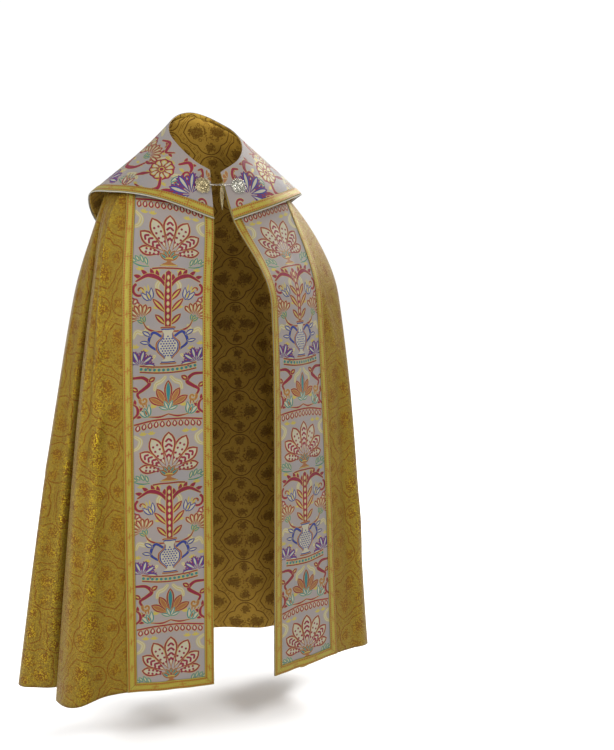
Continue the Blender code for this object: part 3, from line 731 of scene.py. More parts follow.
def orphrey_tile():
    """One repeat of the orphrey's design: its right half, with x from the middle and y down."""
    shell_layers = edged("crimson", (0.0040, "gold"), (0.0050, "pale"))
    leaf_layers = edged("crimson", (0.0042, "gold"))
    shell_base = np.array((0.0, 0.100))
    marks = []
    # pale ribbons and gold sprigs, under the motifs
    for line in PALE_RIBBONS:
        marks += pale_ribbon(line, 0.0075, 0.0009)
    for place in GOLD_SPRIGS:
        marks += sprig(place, 0.011, 0.004)
    # a shell of long petals, each with chevrons or beads
    petals = ((0, 0.095, 0.033), (27, 0.093, 0.033), (54, 0.085, 0.031), (80, 0.072, 0.024))
    for angle, length, width in reversed(petals):
        marks += fan(shell_base, 0.014, length, width, (angle,), shell_layers, 0.66)
        way = toward(angle)
        cross = np.array((-way[1], way[0]))
        for share in (0.36, 0.49, 0.62, 0.75):
            middle = shell_base + way * length * share
            half = width * 0.24 * math.sin(math.pi * share ** 1.5)
            if angle in (0, 54):
                chevron = [middle + cross * half, middle + way * 0.006, middle - cross * half]
                marks += stroke(chevron, 0.0038, "crimson", LEVEL, 0.0, count=7)
            else:
                for side in (-0.5, 0.5):
                    marks += disc(middle + cross * half * side * 1.5, 0.0031, ((0, "crimson"),), 6)
    marks += fan(shell_base + (0, 0.012), 0.0, 0.028, 0.0115, (-27, 0, 27, 54),
                 edged("crimson", (0.0024, "gold"), (0.0034, "teal")), 0.5)
    # its foot
    foot = ((0.0, 0.104), (0.009, 0.106), (0.005, 0.113), (0.014, 0.119), (0.020, 0.122), (0.0, 0.124))
    marks += shape(foot, ((-EDGE, "crimson"), (0.0, "gold"), (0.0025, "orange")))
    marks += stroke([(-0.002, 0.129), (0.020, 0.129), (0.038, 0.131)], 0.0028, "crimson", LEVEL)
    # arching branches that end in roundels
    marks += placed(acanthus("teal"), (0.046, 0.126), -10, 0.95)
    marks += leafy_scroll([(0.004, 0.172), (0.020, 0.154), (0.046, 0.146), (0.074, 0.160)],
                          0.0078, 5, side=-1.0, leaf=0.018)
    marks += volute((0.066, 0.180), 0.016, 1.2, -60, 0.0048)
    marks += placed(tulip("navy", "gold"), (0.040, 0.202), 26, 0.80)
    # the stem with paired leaves and flowers
    marks += placed(blossom(9, "orange", "crimson", "pale"), (0.083, 0.213), 0, 1.0)
    marks += placed(carnation("crimson", "teal"), (0.058, 0.250), 28, 1.05)
    marks += stroke([(0.005, 0.274), (0.028, 0.274), (0.050, 0.264), (0.058, 0.250)], 0.0036, "crimson")
    for y, reach, tilt in ((0.205, 0.030, 0.030), (0.232, 0.036, 0.034), (0.260, 0.030, 0.026)):
        marks += drop((0.004, y), (reach, y - tilt), 0.0130, leaf_layers, 0.55)
    marks += stroke([(0.0, 0.138), (0.0, 0.200), (0.0, 0.264)], 0.0130, "crimson", (0.7, 1, 0.8), 0.0014)
    for y in np.arange(0.150, 0.258, 0.0150):
        marks += drop((0.0, y + 0.006), (0.0, y - 0.006), 0.0072, ((0, "gold"), (0.0016, "pale")), 0.5, 8)
    # a vase with handles on a beaded band
    handle = ((0.010, 0.290), (0.034, 0.276), (0.045, 0.300), (0.022, 0.320))
    marks += stroke(handle, 0.0056, "navy", (0.8, 1, 0.7))
    bud_layers = edged("navy", (0.003, "pale"))
    marks += drop((0.040, 0.284), (0.060, 0.272), 0.0110, bud_layers, 0.5)
    marks += drop((0.043, 0.300), (0.066, 0.296), 0.0100, bud_layers, 0.5)
    vase = ((0.0, 0.264), (0.018, 0.265), (0.012, 0.275), (0.013, 0.284), (0.028, 0.301),
            (0.026, 0.320), (0.011, 0.336), (0.008, 0.341), (0.020, 0.349), (0.0, 0.351))
    marks += shape(vase, edged("crimson", (0.0026, "gold"), (0.0036, "navy"), (0.0068, "pale")))
    for row, y in enumerate(np.arange(0.286, 0.334, 0.0056)):
        reach = np.interp(y, (0.284, 0.301, 0.320, 0.336), (0.004, 0.0195, 0.0175, 0.003))
        for x in np.arange(0.0032 if row % 2 else 0.0, reach, 0.0064):
            for side in (-1, 1):
                marks += disc((x * side, y), 0.0025, ((0.0, "navy"),), 4)
    marks += placed(iris("navy", "crimson"), (0.066, 0.350), -16, 0.80)
    marks += bead_band(0.364, 0.066, -0.006)
    # a palmette between scrolls, under the band
    scroll = ((0.082, 0.378), (0.056, 0.380), (0.044, 0.394), (0.058, 0.406), (0.072, 0.416), (0.064, 0.432))
    marks += stroke(scroll, 0.0072, "crimson", (0.6, 1.0, 0.5), count=26)
    marks += drop((0.046, 0.390), (0.030, 0.380), 0.0120, leaf_layers, 0.5)
    marks += drop((0.070, 0.410), (0.086, 0.400), 0.0120, leaf_layers, 0.5)
    marks += volute((0.057, 0.432), 0.0105, 1.1, -20, 0.0042, "orange")
    for colour, inner, outer, width, angles in (("orange", 0.004, 0.052, 0.0180, (-62, -31, 31, 62)),
                                                ("teal", 0.002, 0.064, 0.0190, (0,))):
        marks += fan((0.0, 0.452), inner, outer, width, angles,
                     edged("crimson", (0.0036, "gold"), (0.0046, colour)), 0.62)
    marks += fan((0.0, 0.458), 0.0, 0.024, 0.0090, (-70, -24, 24, 70), edged("teal", (0.0026, "pale")), 0.5)
    marks += placed(tulip("teal", "crimson"), (0.048, 0.472), 22, 0.82)
    marks += leafy_scroll([(0.084, 0.474), (0.072, 0.462), (0.074, 0.446), (0.084, 0.438)],
                          0.0056, 3, side=-1.0, leaf=0.014)
    marks += stroke([(0.0, 0.468), (0.020, 0.474), (0.046, 0.472)], 0.0034, "crimson")
    # a swag of drops above the next shell
    swag_layers = edged("crimson", (0.0036, "pale"))
    for x in np.arange(0.0, 0.082, 0.0140):
        sag = 0.0070 * (x / 0.075) ** 2
        marks += drop((x, 0.481 + sag), (x * 1.05, 0.499 + sag), 0.0125, swag_layers, 0.6, 9)
    marks += stroke([(-0.004, 0.4795), (0.040, 0.482), (0.080, 0.488)], 0.0030, "crimson", LEVEL)
    return marks


# ---------------------------------------------------------------- the hood's design

# How far the column's first repeat starts below the neck, how wide it may be, and the motifs' enlargement
COLUMN_DROP = 0.312
COLUMN_REACH = 0.104
MOTIF_SIZE = 1.35
# Pale ribbons, each through three places: share of the way from the centre back to the front, and depth
HOOD_RIBBONS = (
    ((0.28, 0.190), (0.31, 0.200), (0.34, 0.188)),
    ((0.43, 0.140), (0.47, 0.150), (0.50, 0.138)),
    ((0.58, 0.060), (0.61, 0.052), (0.63, 0.036)),
    ((0.72, 0.070), (0.77, 0.058), (0.83, 0.052)),
    ((0.30, 0.020), (0.36, 0.014), (0.41, 0.018)),
    ((0.54, 0.140), (0.58, 0.130), (0.61, 0.135)),
    ((0.82, 0.082), (0.80, 0.070), (0.77, 0.066)),
    ((0.24, 0.170), (0.22, 0.160), (0.20, 0.172)),
)


def hood_design(hood):
    """The hood's motifs on the flat cloth: the orphreys' column at the back, others beside it."""
    column = orphrey_tile()
    marks = []
    for repeat in (-REPEAT, 0.0):
        drop_by = np.array((0.0, hood.radius + COLUMN_DROP + repeat))
        marks += [Mark(mark.outline + drop_by, mark.colour) for mark in column
                  if mark.outline[:, 0].max() < COLUMN_REACH]

    def spot(share, depth):
        """A flat place: 0 is the centre back and 1 the front edge; depth in metres from the neck."""
        angle, reach = share * hood.spread, hood.radius + depth
        return np.array((reach * math.sin(angle), reach * math.cos(angle)))

    def line(*places):
        return [spot(share, depth) for share, depth in places]

    def put(motif, share, depth, turn, size):
        return placed(motif, spot(share, depth), turn - math.degrees(share * hood.spread), size * MOTIF_SIZE)

    def scroll(places, width, leaves, side, leaf):
        return leafy_scroll(line(*places), width, leaves, side, leaf)

    # pale ribbons and gold sprigs, under everything else
    for places in HOOD_RIBBONS:
        marks += pale_ribbon(line(*places), 0.0095, 0.0010)
    for share in np.arange(0.14, 0.98, 0.060):
        for depth in (0.045, 0.105, 0.150, 0.205, 0.265):
            drift = 0.014 * math.sin(31.0 * share + 57.0 * depth)
            marks += put(sprig((0.0, 0.0), 0.010, 0.0036), share + drift, depth, 40 * drift, 0.75)
    # beside the column, down to the shield's lower edge
    marks += scroll(((0.25, 0.010), (0.34, 0.040), (0.335, 0.095), (0.265, 0.130)), 0.0100, 5, 1.0, 0.020)
    marks += put(carnation("crimson", "teal"), 0.255, 0.085, -20, 0.90)
    marks += put(iris("navy", "crimson"), 0.215, 0.190, -12, 0.92)
    marks += volute(spot(0.175, 0.245), 0.018, 1.3, 200, 0.0060, "teal")
    marks += volute(spot(0.250, 0.232), 0.017, 1.3, -20, 0.0060, "teal", way=-1.0)
    marks += scroll(((0.165, 0.262), (0.215, 0.290), (0.185, 0.325), (0.145, 0.318)), 0.0078, 4, 1.0, 0.018)
    marks += put(blossom(9, "orange", "crimson", "pale"), 0.150, 0.292, 0, 0.85)
    marks += put(tulip("navy", "gold"), 0.245, 0.270, 6, 0.72)
    marks += put(carnation("crimson", "navy"), 0.118, 0.345, 4, 0.80)
    marks += scroll(((0.075, 0.430), (0.100, 0.400), (0.135, 0.372), (0.170, 0.352)), 0.0056, 4, 1.0, 0.013)
    # over the shoulder's back
    marks += scroll(((0.335, 0.235), (0.375, 0.190), (0.335, 0.150), (0.285, 0.158)), 0.0088, 4, -1.0, 0.018)
    marks += put(blossom(10, "gold", "crimson", "teal"), 0.405, 0.058, 0, 1.15)
    marks += stroke(line((0.34, 0.070), (0.37, 0.085), (0.385, 0.076)), 0.0080)
    marks += put(tulip("teal", "crimson"), 0.395, 0.158, 14, 0.85)
    marks += put(acanthus("orange"), 0.300, 0.215, 24, 0.80)
    marks += put(blossom(8, "pale", "crimson", "navy"), 0.315, 0.105, 0, 0.70)
    # along the shoulder
    marks += stroke(line((0.425, 0.100), (0.465, 0.128), (0.525, 0.118), (0.560, 0.080)), 0.0095)
    marks += volute(spot(0.562, 0.072), 0.015, 1.2, 60, 0.0058, way=-1.0)
    marks += put(carnation("crimson", "teal"), 0.505, 0.080, 12, 0.90)
    marks += put(iris("navy", "crimson"), 0.470, 0.186, -8, 0.72)
    marks += put(acanthus("teal"), 0.530, 0.165, 0, 0.75)
    marks += scroll(((0.465, 0.022), (0.53, 0.012), (0.58, 0.034), (0.62, 0.020)), 0.0070, 4, 1.0, 0.015)
    # over the chest
    marks += put(blossom(11, "gold", "crimson", "crimson"), 0.660, 0.074, 0, 1.30)
    marks += stroke(line((0.585, 0.128), (0.61, 0.112), (0.632, 0.100)), 0.0085)
    marks += stroke(line((0.695, 0.092), (0.725, 0.120), (0.69, 0.146), (0.63, 0.150)), 0.0085)
    marks += put(tulip("crimson", "navy"), 0.588, 0.170, -16, 0.70)
    marks += scroll(((0.705, 0.034), (0.745, 0.014), (0.79, 0.022), (0.800, 0.046)), 0.0084, 3, -1.0, 0.016)
    marks += volute(spot(0.795, 0.044), 0.012, 1.1, 20, 0.0050)
    marks += put(tulip("teal", "crimson"), 0.757, 0.088, 30, 0.62)
    marks += scroll(((0.735, 0.132), (0.765, 0.108), (0.80, 0.102), (0.835, 0.116)), 0.0074, 4, 1.0, 0.015)
    marks += stroke(line((0.810, 0.074), (0.828, 0.050), (0.850, 0.040), (0.870, 0.048)), 0.0074)
    # beside the clasp and at the front corners
    marks += put(iris("navy", "crimson"), 0.872, 0.080, -62, 0.95)
    marks += volute(spot(0.945, 0.090), 0.0125, 1.3, 100, 0.0046)
    marks += stroke(line((0.895, 0.104), (0.925, 0.108), (0.96, 0.102)), 0.0052)
    marks += placed(fan((0.0, 0.0), 0.002, 0.020, 0.009, (-44, 0, 44), edged("orange")),
                    spot(0.955, 0.024), -60)
    marks += scroll(((0.845, 0.016), (0.88, 0.010), (0.915, 0.024), (0.905, 0.044)), 0.0066, 3, 1.0, 0.014)
    return marks


# ---------------------------------------------------------------- materials

class Field:
    """A number that varies over a surface, worked out by shader nodes."""

    def __init__(self, tree, socket):
        self.tree, self.socket = tree, socket

    def make(self, operation, *values, clamp=False):
        node = self.tree.nodes.new("ShaderNodeMath")
        node.operation = operation
        node.use_clamp = clamp
        for socket, value in zip(node.inputs, values):
            if isinstance(value, Field):
                self.tree.links.new(value.socket, socket)
            else:
                socket.default_value = value
        return Field(self.tree, node.outputs[0])

    def __add__(self, other):
        return self.make("ADD", self, other)

    def __sub__(self, other):
        return self.make("SUBTRACT", self, other)

    def __rsub__(self, other):
        return self.make("SUBTRACT", other, self)

    def __mul__(self, other):
        return self.make("MULTIPLY", self, other)

    def __abs__(self):
        return self.make("ABSOLUTE", self)

    def least(self, other):
        return self.make("MINIMUM", self, other)

    def most(self, other):
        return self.make("MAXIMUM", self, other)

    def reach(self, other):
        """The length of the vector (self, other)."""
        return self.make("SQRT", self * self + other * other)

    def every(self, period):
        """The distance to the nearest multiple of a period."""
        return self.make("PINGPONG", abs(self), period / 2)

    def wave(self, period):
        """A wave between 0 and 1."""
        return self.make("SINE", self * (2 * math.pi / period)) * 0.5 + 0.5

    def between(self, low, high):
        """0 at the low value and 1 at the high one."""
        scale = 1.0 / (high - low)
        return self.make("MULTIPLY_ADD", self, scale, -low * scale, clamp=True)

    def under(self, edge, soft):
        """1 where the field is below the edge, 0 above it, with a soft step."""
        return self.make("MULTIPLY_ADD", self, -1.0 / soft, edge / soft + 0.5, clamp=True)


class Finish:
    """A Principled material and the fields that drive it."""

    def __init__(self, name, roughness=0.7, metallic=0.0, sheen=0.5):
        self.material = bpy.data.materials.new(name)
        self.material.use_nodes = True
        self.tree = self.material.node_tree
        self.shader = self.tree.nodes["Principled BSDF"]
        self.shader.inputs["Roughness"].default_value = roughness
        self.shader.inputs["Metallic"].default_value = metallic
        self.shader.inputs["Specular IOR Level"].default_value = sheen

    def node(self, kind, **settings):
        node = self.tree.nodes.new(kind)
        for key, value in settings.items():
            setattr(node, key, value)
        return node

    def flat(self):
        """The place on the flat cloth, in metres."""
        place = self.node("ShaderNodeUVMap", uv_map="flat")
        parts = self.node("ShaderNodeSeparateXYZ")
        self.tree.links.new(place.outputs[0], parts.inputs[0])
        return Field(self.tree, parts.outputs[0]), Field(self.tree, parts.outputs[1])

    def vector(self, x, y):
        node = self.node("ShaderNodeCombineXYZ")
        self.tree.links.new(x.socket, node.inputs[0])
        self.tree.links.new(y.socket, node.inputs[1])
        return node.outputs[0]

    def noise_at(self, place, scale, detail):
        node = self.node("ShaderNodeTexNoise")
        self.tree.links.new(place, node.inputs["Vector"])
        node.inputs["Scale"].default_value = scale
        node.inputs["Detail"].default_value = detail
        return Field(self.tree, node.outputs["Fac"])

    def noise(self, x, y, scale, detail):
        """Noise over the flat cloth."""
        return self.noise_at(self.vector(x, y), scale, detail)

    def solid_noise(self, scale, detail=3.0):
        """Noise through the piece's own space, for pieces with no flat layout."""
        return self.noise_at(self.node("ShaderNodeTexCoord").outputs["Object"], scale, detail)

    def stored(self, name):
        """A value kept with each point of the mesh, and 0 on pieces that have none."""
        return Field(self.tree, self.node("ShaderNodeAttribute", attribute_name=name).outputs["Fac"])

    def grains(self, x, y, scale):
        """Two random numbers for each small cell of the cloth."""
        node = self.node("ShaderNodeTexVoronoi")
        self.tree.links.new(self.vector(x, y), node.inputs["Vector"])
        node.inputs["Scale"].default_value = scale
        parts = self.node("ShaderNodeSeparateColor")
        self.tree.links.new(node.outputs["Color"], parts.inputs[0])
        return Field(self.tree, parts.outputs[0]), Field(self.tree, parts.outputs[1])

    def mix(self, factor, low, high):
        """A colour between two, each a tuple or the output of another mix."""
        node = self.node("ShaderNodeMix", data_type="RGBA")
        self.tree.links.new(factor.socket, node.inputs[0])
        for socket, value in ((node.inputs[6], low), (node.inputs[7], high)):
            if isinstance(value, tuple):
                socket.default_value = (*value, 1.0)
            else:
                self.tree.links.new(value, socket)
        return node.outputs[2]

    def drive(self, name, field):
        self.tree.links.new(getattr(field, "socket", field), self.shader.inputs[name])

    def relief(self, height, depth):
        """Bump from a height field between 0 and 1; depth in metres."""
        node = self.node("ShaderNodeBump")
        node.inputs["Strength"].default_value = 1.0
        node.inputs["Distance"].default_value = depth
        self.tree.links.new(height.socket, node.inputs["Height"])
        self.tree.links.new(node.outputs[0], self.shader.inputs["Normal"])


# The brocade's colours: its ground in light and shade, the outlines, the leaves, and the metal threads, whose
# lighter colour is a painted glint
Threads = namedtuple("Threads", "ground shade line leaf spark")
GOLD_THREADS = Threads((0.148, 0.094, 0.0100), (0.134, 0.083, 0.0080), (0.112, 0.034, 0.0008),
                       (0.106, 0.038, 0.0010), (0.345, 0.250, 0.016))
# The reverse and the hood's lining: the same brocade, painted lighter to make up for the shade inside the
# cope and under the hood
REVERSE_PAINTED_LIGHTER = Threads((0.400, 0.240, 0.036), (0.330, 0.190, 0.026), (0.095, 0.040, 0.004),
                          (0.100, 0.042, 0.004), (0.560, 0.380, 0.055))
LINING_PAINTED_LIGHTER = Threads((0.400, 0.252, 0.036), (0.330, 0.196, 0.026), (0.110, 0.048, 0.005),
                         (0.110, 0.048, 0.005), (0.600, 0.430, 0.065))
# The repeat of the brocade's medallions
COLUMN_STEP = 0.214
ROW_STEP = 0.122


def medallion(x, y):
    """Distances, in one quadrant of a medallion, to its outline, leaf clusters, ring and florets."""
    pointed = ((x - 0.0200).reach(y + 0.0120) - 0.0474).most((x - 0.0660) * 0.84 + y * 0.54)
    rounded = x.reach(y - 0.0263) - 0.0322
    side = ((x - 0.0345) * 0.74).reach(y) + (x - 0.0345) * 0.20
    leaves = side.least((x * 1.05).reach((y - 0.0405) * 1.05) + 0.0018)
    ring = abs(x.reach(y) - 0.0170)
    florets = (x - 0.0225).reach(y - 0.0195)
    return pointed.least(rounded), leaves, ring, florets


def brocade(name, threads, gloss, painted_glint_amount):
    """Gold brocade: outlined medallions in a half-drop, leaf clusters, dashes and metal threads, lighter most
    of all on the creases' crests as a painted glint.
    """
    finish = Finish(name, sheen=0.12)
    x, y = finish.flat()
    first, *first_parts = medallion(x.every(COLUMN_STEP), y.every(ROW_STEP))
    other_x, other_y = (x - COLUMN_STEP / 2).every(COLUMN_STEP), (y - ROW_STEP / 2).every(ROW_STEP)
    second, *second_parts = medallion(other_x, other_y)
    edge = first.least(second)
    leaves, ring, florets = (one.least(other) for one, other in zip(first_parts, second_parts))
    bead, shine = finish.grains(x, y, 210.0)
    fleck, glint = finish.grains(x, y, 430.0)
    broad = finish.noise(x, y, 9.0, 3.0)
    ragged = finish.noise(x, y, 300.0, 1.0)
    crinkle = finish.noise(x, y, 420.0, 0.0)

    outline = abs(edge).under(0.0014, 0.0008)
    outside = 1.0 - edge.under(0.0020, 0.0012)
    between = abs(abs(first - second) - 0.0040).under(0.0014, 0.0008)
    dashes = between * outside * (x - y).wave(0.017).under(0.55, 0.2)
    core = (leaves + ragged * 0.009).under(0.0160, 0.0020)
    fringe = (leaves + ragged * 0.004).under(0.0200, 0.0020) * bead.under(0.45, 0.10)
    rosette = ring.under(0.0065, 0.0020) * bead.under(0.36, 0.10)
    floret = abs(florets - 0.0034).under(0.0014, 0.0010)
    figure = core.most(fringe).most(rosette * 0.8).most(floret * 0.8)

    colour = finish.mix(broad.between(0.30, 0.70), threads.shade, threads.ground)
    colour = finish.mix(figure * (fleck * 0.28 + 0.66), colour, threads.leaf)
    colour = finish.mix(outline.most(dashes * 0.9) * 0.95, colour, threads.line)
    crest_glint = finish.stored("crest_glint")
    # Metal threads, which also get their metal and smoothness here; their lighter colour is a painted glint,
    # strongest on the creases' crests
    bright = glint.under(0.34, 0.06) * (figure * 0.45 + 0.55) * (crest_glint * 0.64 + 0.34)
    # Dark flecks: a few everywhere in the weave, and more on the crests as part of the painted glint there
    colour = finish.mix(fleck.under(0.24, 0.06) * (crest_glint * 0.36 + 0.10), colour, threads.leaf)
    colour = finish.mix(bright * painted_glint_amount, colour, threads.spark)
    finish.drive("Base Color", colour)
    finish.drive("Metallic", bright * 0.60 + 0.38 * gloss)
    finish.drive("Roughness", shine * 0.08 + (0.55 - 0.14 * gloss) - bright * 0.19)
    weave = (x + y * 0.35).wave(0.0013) * 0.35 + y.wave(0.0011) * 0.25
    finish.relief(weave + crinkle * 1.0 + outline * -0.9 + figure * 0.3, 0.00050)
    return finish.material


# Each thread's darker and lighter colour, its roughness and its share of metal
TAPESTRY_COLOURS = {
    "ground": ((0.142, 0.132, 0.130), (0.180, 0.146, 0.127), 0.58, 0.10),
    "gold": ((0.200, 0.157, 0.024), (0.270, 0.215, 0.042), 0.45, 0.30),
    "crimson": ((0.088, 0.0010, 0.009), (0.135, 0.002, 0.016), 0.60, 0.05),
    "teal": ((0.006, 0.066, 0.074), (0.013, 0.100, 0.102), 0.60, 0.05),
    "navy": ((0.006, 0.011, 0.082), (0.013, 0.020, 0.125), 0.60, 0.05),
    "orange": ((0.135, 0.045, 0.010), (0.180, 0.068, 0.016), 0.55, 0.10),
    "pale": ((0.205, 0.187, 0.125), (0.250, 0.226, 0.160), 0.55, 0.12),
}


def tapestry(colour):
    """One thread colour of the tapestry, with its ribs and a slight change of tone in bands."""
    low, high, roughness, metallic = TAPESTRY_COLOURS[colour]
    finish = Finish(f"tapestry_{colour}", metallic=metallic, sheen=0.25)
    x, y = finish.flat()
    ribs = y.wave(0.0012)
    threads, gloss = finish.grains(x, y, 700.0)
    bands = finish.noise(x * 0.35, y, 11.0, 2.0)
    tone = bands.between(0.32, 0.68)
    finish.drive("Base Color", finish.mix(tone * 0.75 + threads * 0.25, low, high))
    finish.drive("Roughness", gloss * 0.14 + (roughness - 0.07))
    finish.relief(ribs * 0.5 + threads * 0.4, 0.00022)
    return finish.material


def galloon():
    """Yellow-gold braid: fine ribs, a dotted orange line near each edge, and spaced crosses."""
    finish = Finish("galloon", metallic=0.35, sheen=0.25)
    x, y = finish.flat()
    across = abs(x - BRAID_WIDTH / 2)
    ribs = y.wave(0.0016)
    chequer = x.wave(0.0022) * y.wave(0.0026)
    dotted = abs(across - 0.0072).under(0.0019, 0.0006) * y.wave(0.0056).under(0.74, 0.2)
    along = y.every(0.066)
    cross = across.under(0.0012, 0.0005) * along.under(0.0085, 0.0006)
    bar = along.under(0.0014, 0.0005) * across.under(0.0060, 0.0006)
    mark = cross.most(bar) * (x + y).wave(0.0034).under(0.75, 0.2)
    grain, gloss = finish.grains(x, y, 650.0)
    colour = finish.mix(grain * 0.5 + chequer * 0.3 + across.between(0.0075, 0.0) * 0.4,
                        (0.142, 0.104, 0.0065), (0.235, 0.192, 0.024))
    colour = finish.mix(dotted.most(mark), colour, (0.165, 0.034, 0.0006))
    selvedge = 1.0 - across.under(0.0100, 0.0006)
    colour = finish.mix(selvedge * 0.5, colour, (0.300, 0.240, 0.046))
    finish.drive("Base Color", colour)
    finish.drive("Roughness", gloss * 0.16 + 0.38)
    finish.relief(ribs * 0.5 + chequer * 0.4 - dotted * 0.5 + grain * 0.2, 0.00035)
    return finish.material


def cord_finish():
    """Grey-cream cord along the hood's edge, with its twist."""
    finish = Finish("piping_cord", roughness=0.6)
    x, y = finish.flat()
    twist = (y + x * 0.5).wave(0.0034)
    finish.drive("Base Color", finish.mix(twist, (0.190, 0.172, 0.125), (0.280, 0.262, 0.200)))
    finish.relief(twist, 0.0004)
    return finish.material


# Each metal's duller and brighter colour and its roughness
METALS = {
    "clasp_dull": ((0.110, 0.085, 0.040), (0.420, 0.350, 0.200), 0.30),
    "clasp_silvery": ((0.120, 0.115, 0.095), (0.520, 0.500, 0.430), 0.22),
}


def metal(name):
    """Cast and drawn metal, slightly duller in patches that change at random."""
    dark, bright, roughness = METALS[name]
    finish = Finish(name, metallic=0.95)
    worn, fine = finish.solid_noise(420.0), finish.solid_noise(1600.0, 1.0)
    finish.drive("Base Color", finish.mix(worn.between(0.33, 0.62), dark, bright))
    finish.drive("Roughness", worn * 0.18 + (roughness - 0.09))
    finish.relief(fine * 0.6 + worn * 0.4, 0.00016)
    return finish.material


def plain_floor():
    """The pale studio floor, with a trace of unevenness."""
    finish = Finish("studio_floor", roughness=0.85)
    tone = finish.solid_noise(0.9, 2.0)
    finish.drive("Base Color", finish.mix(tone, (0.975, 0.975, 0.975), (0.985, 0.985, 0.985)))
    return finish.material


# ---------------------------------------------------------------- cloth pieces

# How finely the galloon, the lining and the piping are divided
BAND_FACE_STEPS = 13
BAND_BACK_STEPS = 4
ORPHREY_BAND_STEPS = 300
BOTTOM_BAND_STEPS = 60
HOOD_BAND_STEPS = 420
LINING_ROWS = 45
LINING_COLUMNS = 221
PIPING_SIDES = 10
# From the hood's edge to its piping
PIPING_GAP = 0.0008


def make_mesh(name, points, faces, flat, normals=None, slots=None):
    """A smooth mesh with its flat layout, for each point or corner, and a material slot for each face."""
    mesh = bpy.data.meshes.new(name)
    mesh.from_pydata(points.reshape(-1, 3), [], faces)
    corners = np.empty(len(mesh.loops), np.int32)
    mesh.loops.foreach_get("vertex_index", corners)
    layer = mesh.uv_layers.new(name="flat")
    flat = flat.reshape(-1, 2)
    if len(flat) != len(corners):
        flat = flat[corners]
    layer.uv.foreach_set("vector", flat.astype(np.float32).ravel())
    if slots is not None:
        mesh.polygons.foreach_set("material_index", np.asarray(slots, np.int32))
    mesh.shade_smooth()
    if normals is not None:
        mesh.normals_split_custom_set_from_vertices(normals.tolist())
    mesh.update()
    return mesh


def add_piece(name, mesh, materials, body, node):
    """An object that rides on a body and stands for one of the frame's nodes."""
    for material in materials:
        mesh.materials.append(material)
    item = bpy.data.objects.new(name, mesh)
    bpy.context.scene.collection.objects.link(item)
    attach(item, body)
    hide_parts(node)
    return item


def add_wall(item, thickness, inner_slot=0):
    """A wall inwards from the outer face; its inner side's material is inner_slot slots further on."""
    wall = item.modifiers.new("wall", "SOLIDIFY")
    wall.thickness = thickness
    wall.offset = -1.0
    wall.material_offset = inner_slot


def add_body(body, flat, crest_glints):
    """The semicircular cope: brocade outside and its reverse inside, painted lighter against the shade there.
    """
    mesh = make_mesh("cope_cloth", body.points, grid_cells(*body.points.shape[:2]).tolist(), flat)
    # Each point's share of a crest, kept so that the brocade paints its glints there
    crests = mesh.attributes.new("crest_glint", "FLOAT", "POINT")
    crests.data.foreach_set("value", crest_glints.astype(np.float32).ravel())
    materials = [brocade("brocade_gold", GOLD_THREADS, 1.0, 0.85),
                 brocade("brocade_reverse_painted_lighter", REVERSE_PAINTED_LIGHTER, 0.3, 0.45)]
    item = add_piece("cope_cloth", mesh, materials, "garment", "cope_body")
    add_wall(item, BODY_WALL, 1)
    return item


def add_woven(name, woven, outline, place, top, wall, materials, node):
    """A closed shell: the woven face, its rim, and a plainer back with the same border."""
    flat, faces, slots = woven
    directed = np.concatenate((faces[:, [0, 1]], faces[:, [1, 2]], faces[:, [2, 0]]))
    _, first, uses = np.unique(np.sort(directed, axis=1), axis=0, return_index=True, return_counts=True)
    border = directed[first[uses == 1]]
    rim = np.unique(border)
    order = np.zeros(len(flat), int)
    order[rim] = np.arange(len(rim))
    low, high = flat.min(axis=0) + BACK_SPACING / 2, flat.max(axis=0)
    x, y = np.meshgrid(np.arange(low[0], high[0], BACK_SPACING), np.arange(low[1], high[1], BACK_SPACING))
    places = np.concatenate((flat[rim], np.stack((x.ravel(), y.ravel()), axis=1)))
    made = delaunay_2d_cdt([Vector(p) for p in places], order[border].tolist(), [], 0, 1e-7, True)
    back, back_faces = np.array([tuple(p) for p in made[0]]), np.array(made[2])
    back_faces = back_faces[inside(back[back_faces].mean(axis=1), outline)]
    new_place = np.zeros(len(places), int)
    for new, olds in enumerate(made[3]):
        new_place[olds] = new
    under = len(flat) + new_place[order]
    skirts = np.stack((border[:, 1], border[:, 0], under[border[:, 0]], under[border[:, 1]]), axis=1)
    all_faces = faces.tolist() + skirts.tolist() + (back_faces[:, ::-1] + len(flat)).tolist()
    all_slots = np.concatenate((slots, np.zeros(len(skirts) + len(back_faces), int)))
    points = np.concatenate((place.at(flat, top), place.at(back, top - wall)))
    normals = np.concatenate((place.normal_at(flat), np.zeros((len(back), 3))))
    mesh = make_mesh(name, points, all_faces, np.concatenate((flat, back)), normals, all_slots)
    return add_piece(name, mesh, materials, "garment", node)


def tube_faces(rows, columns, closed=False):
    """The sides of a tube whose rows are its sections, and its two flat ends unless it closes on itself."""
    index = np.arange(rows * columns).reshape(rows, columns)
    ahead = np.roll(index, -1, axis=1)
    cells = np.stack((index, ahead, np.roll(ahead, -1, axis=0), np.roll(index, -1, axis=0)), axis=-1)
    if closed:
        return cells.reshape(-1, 4).tolist()
    return cells[:-1].reshape(-1, 4).tolist() + [index[0, ::-1].tolist(), index[-1].tolist()]


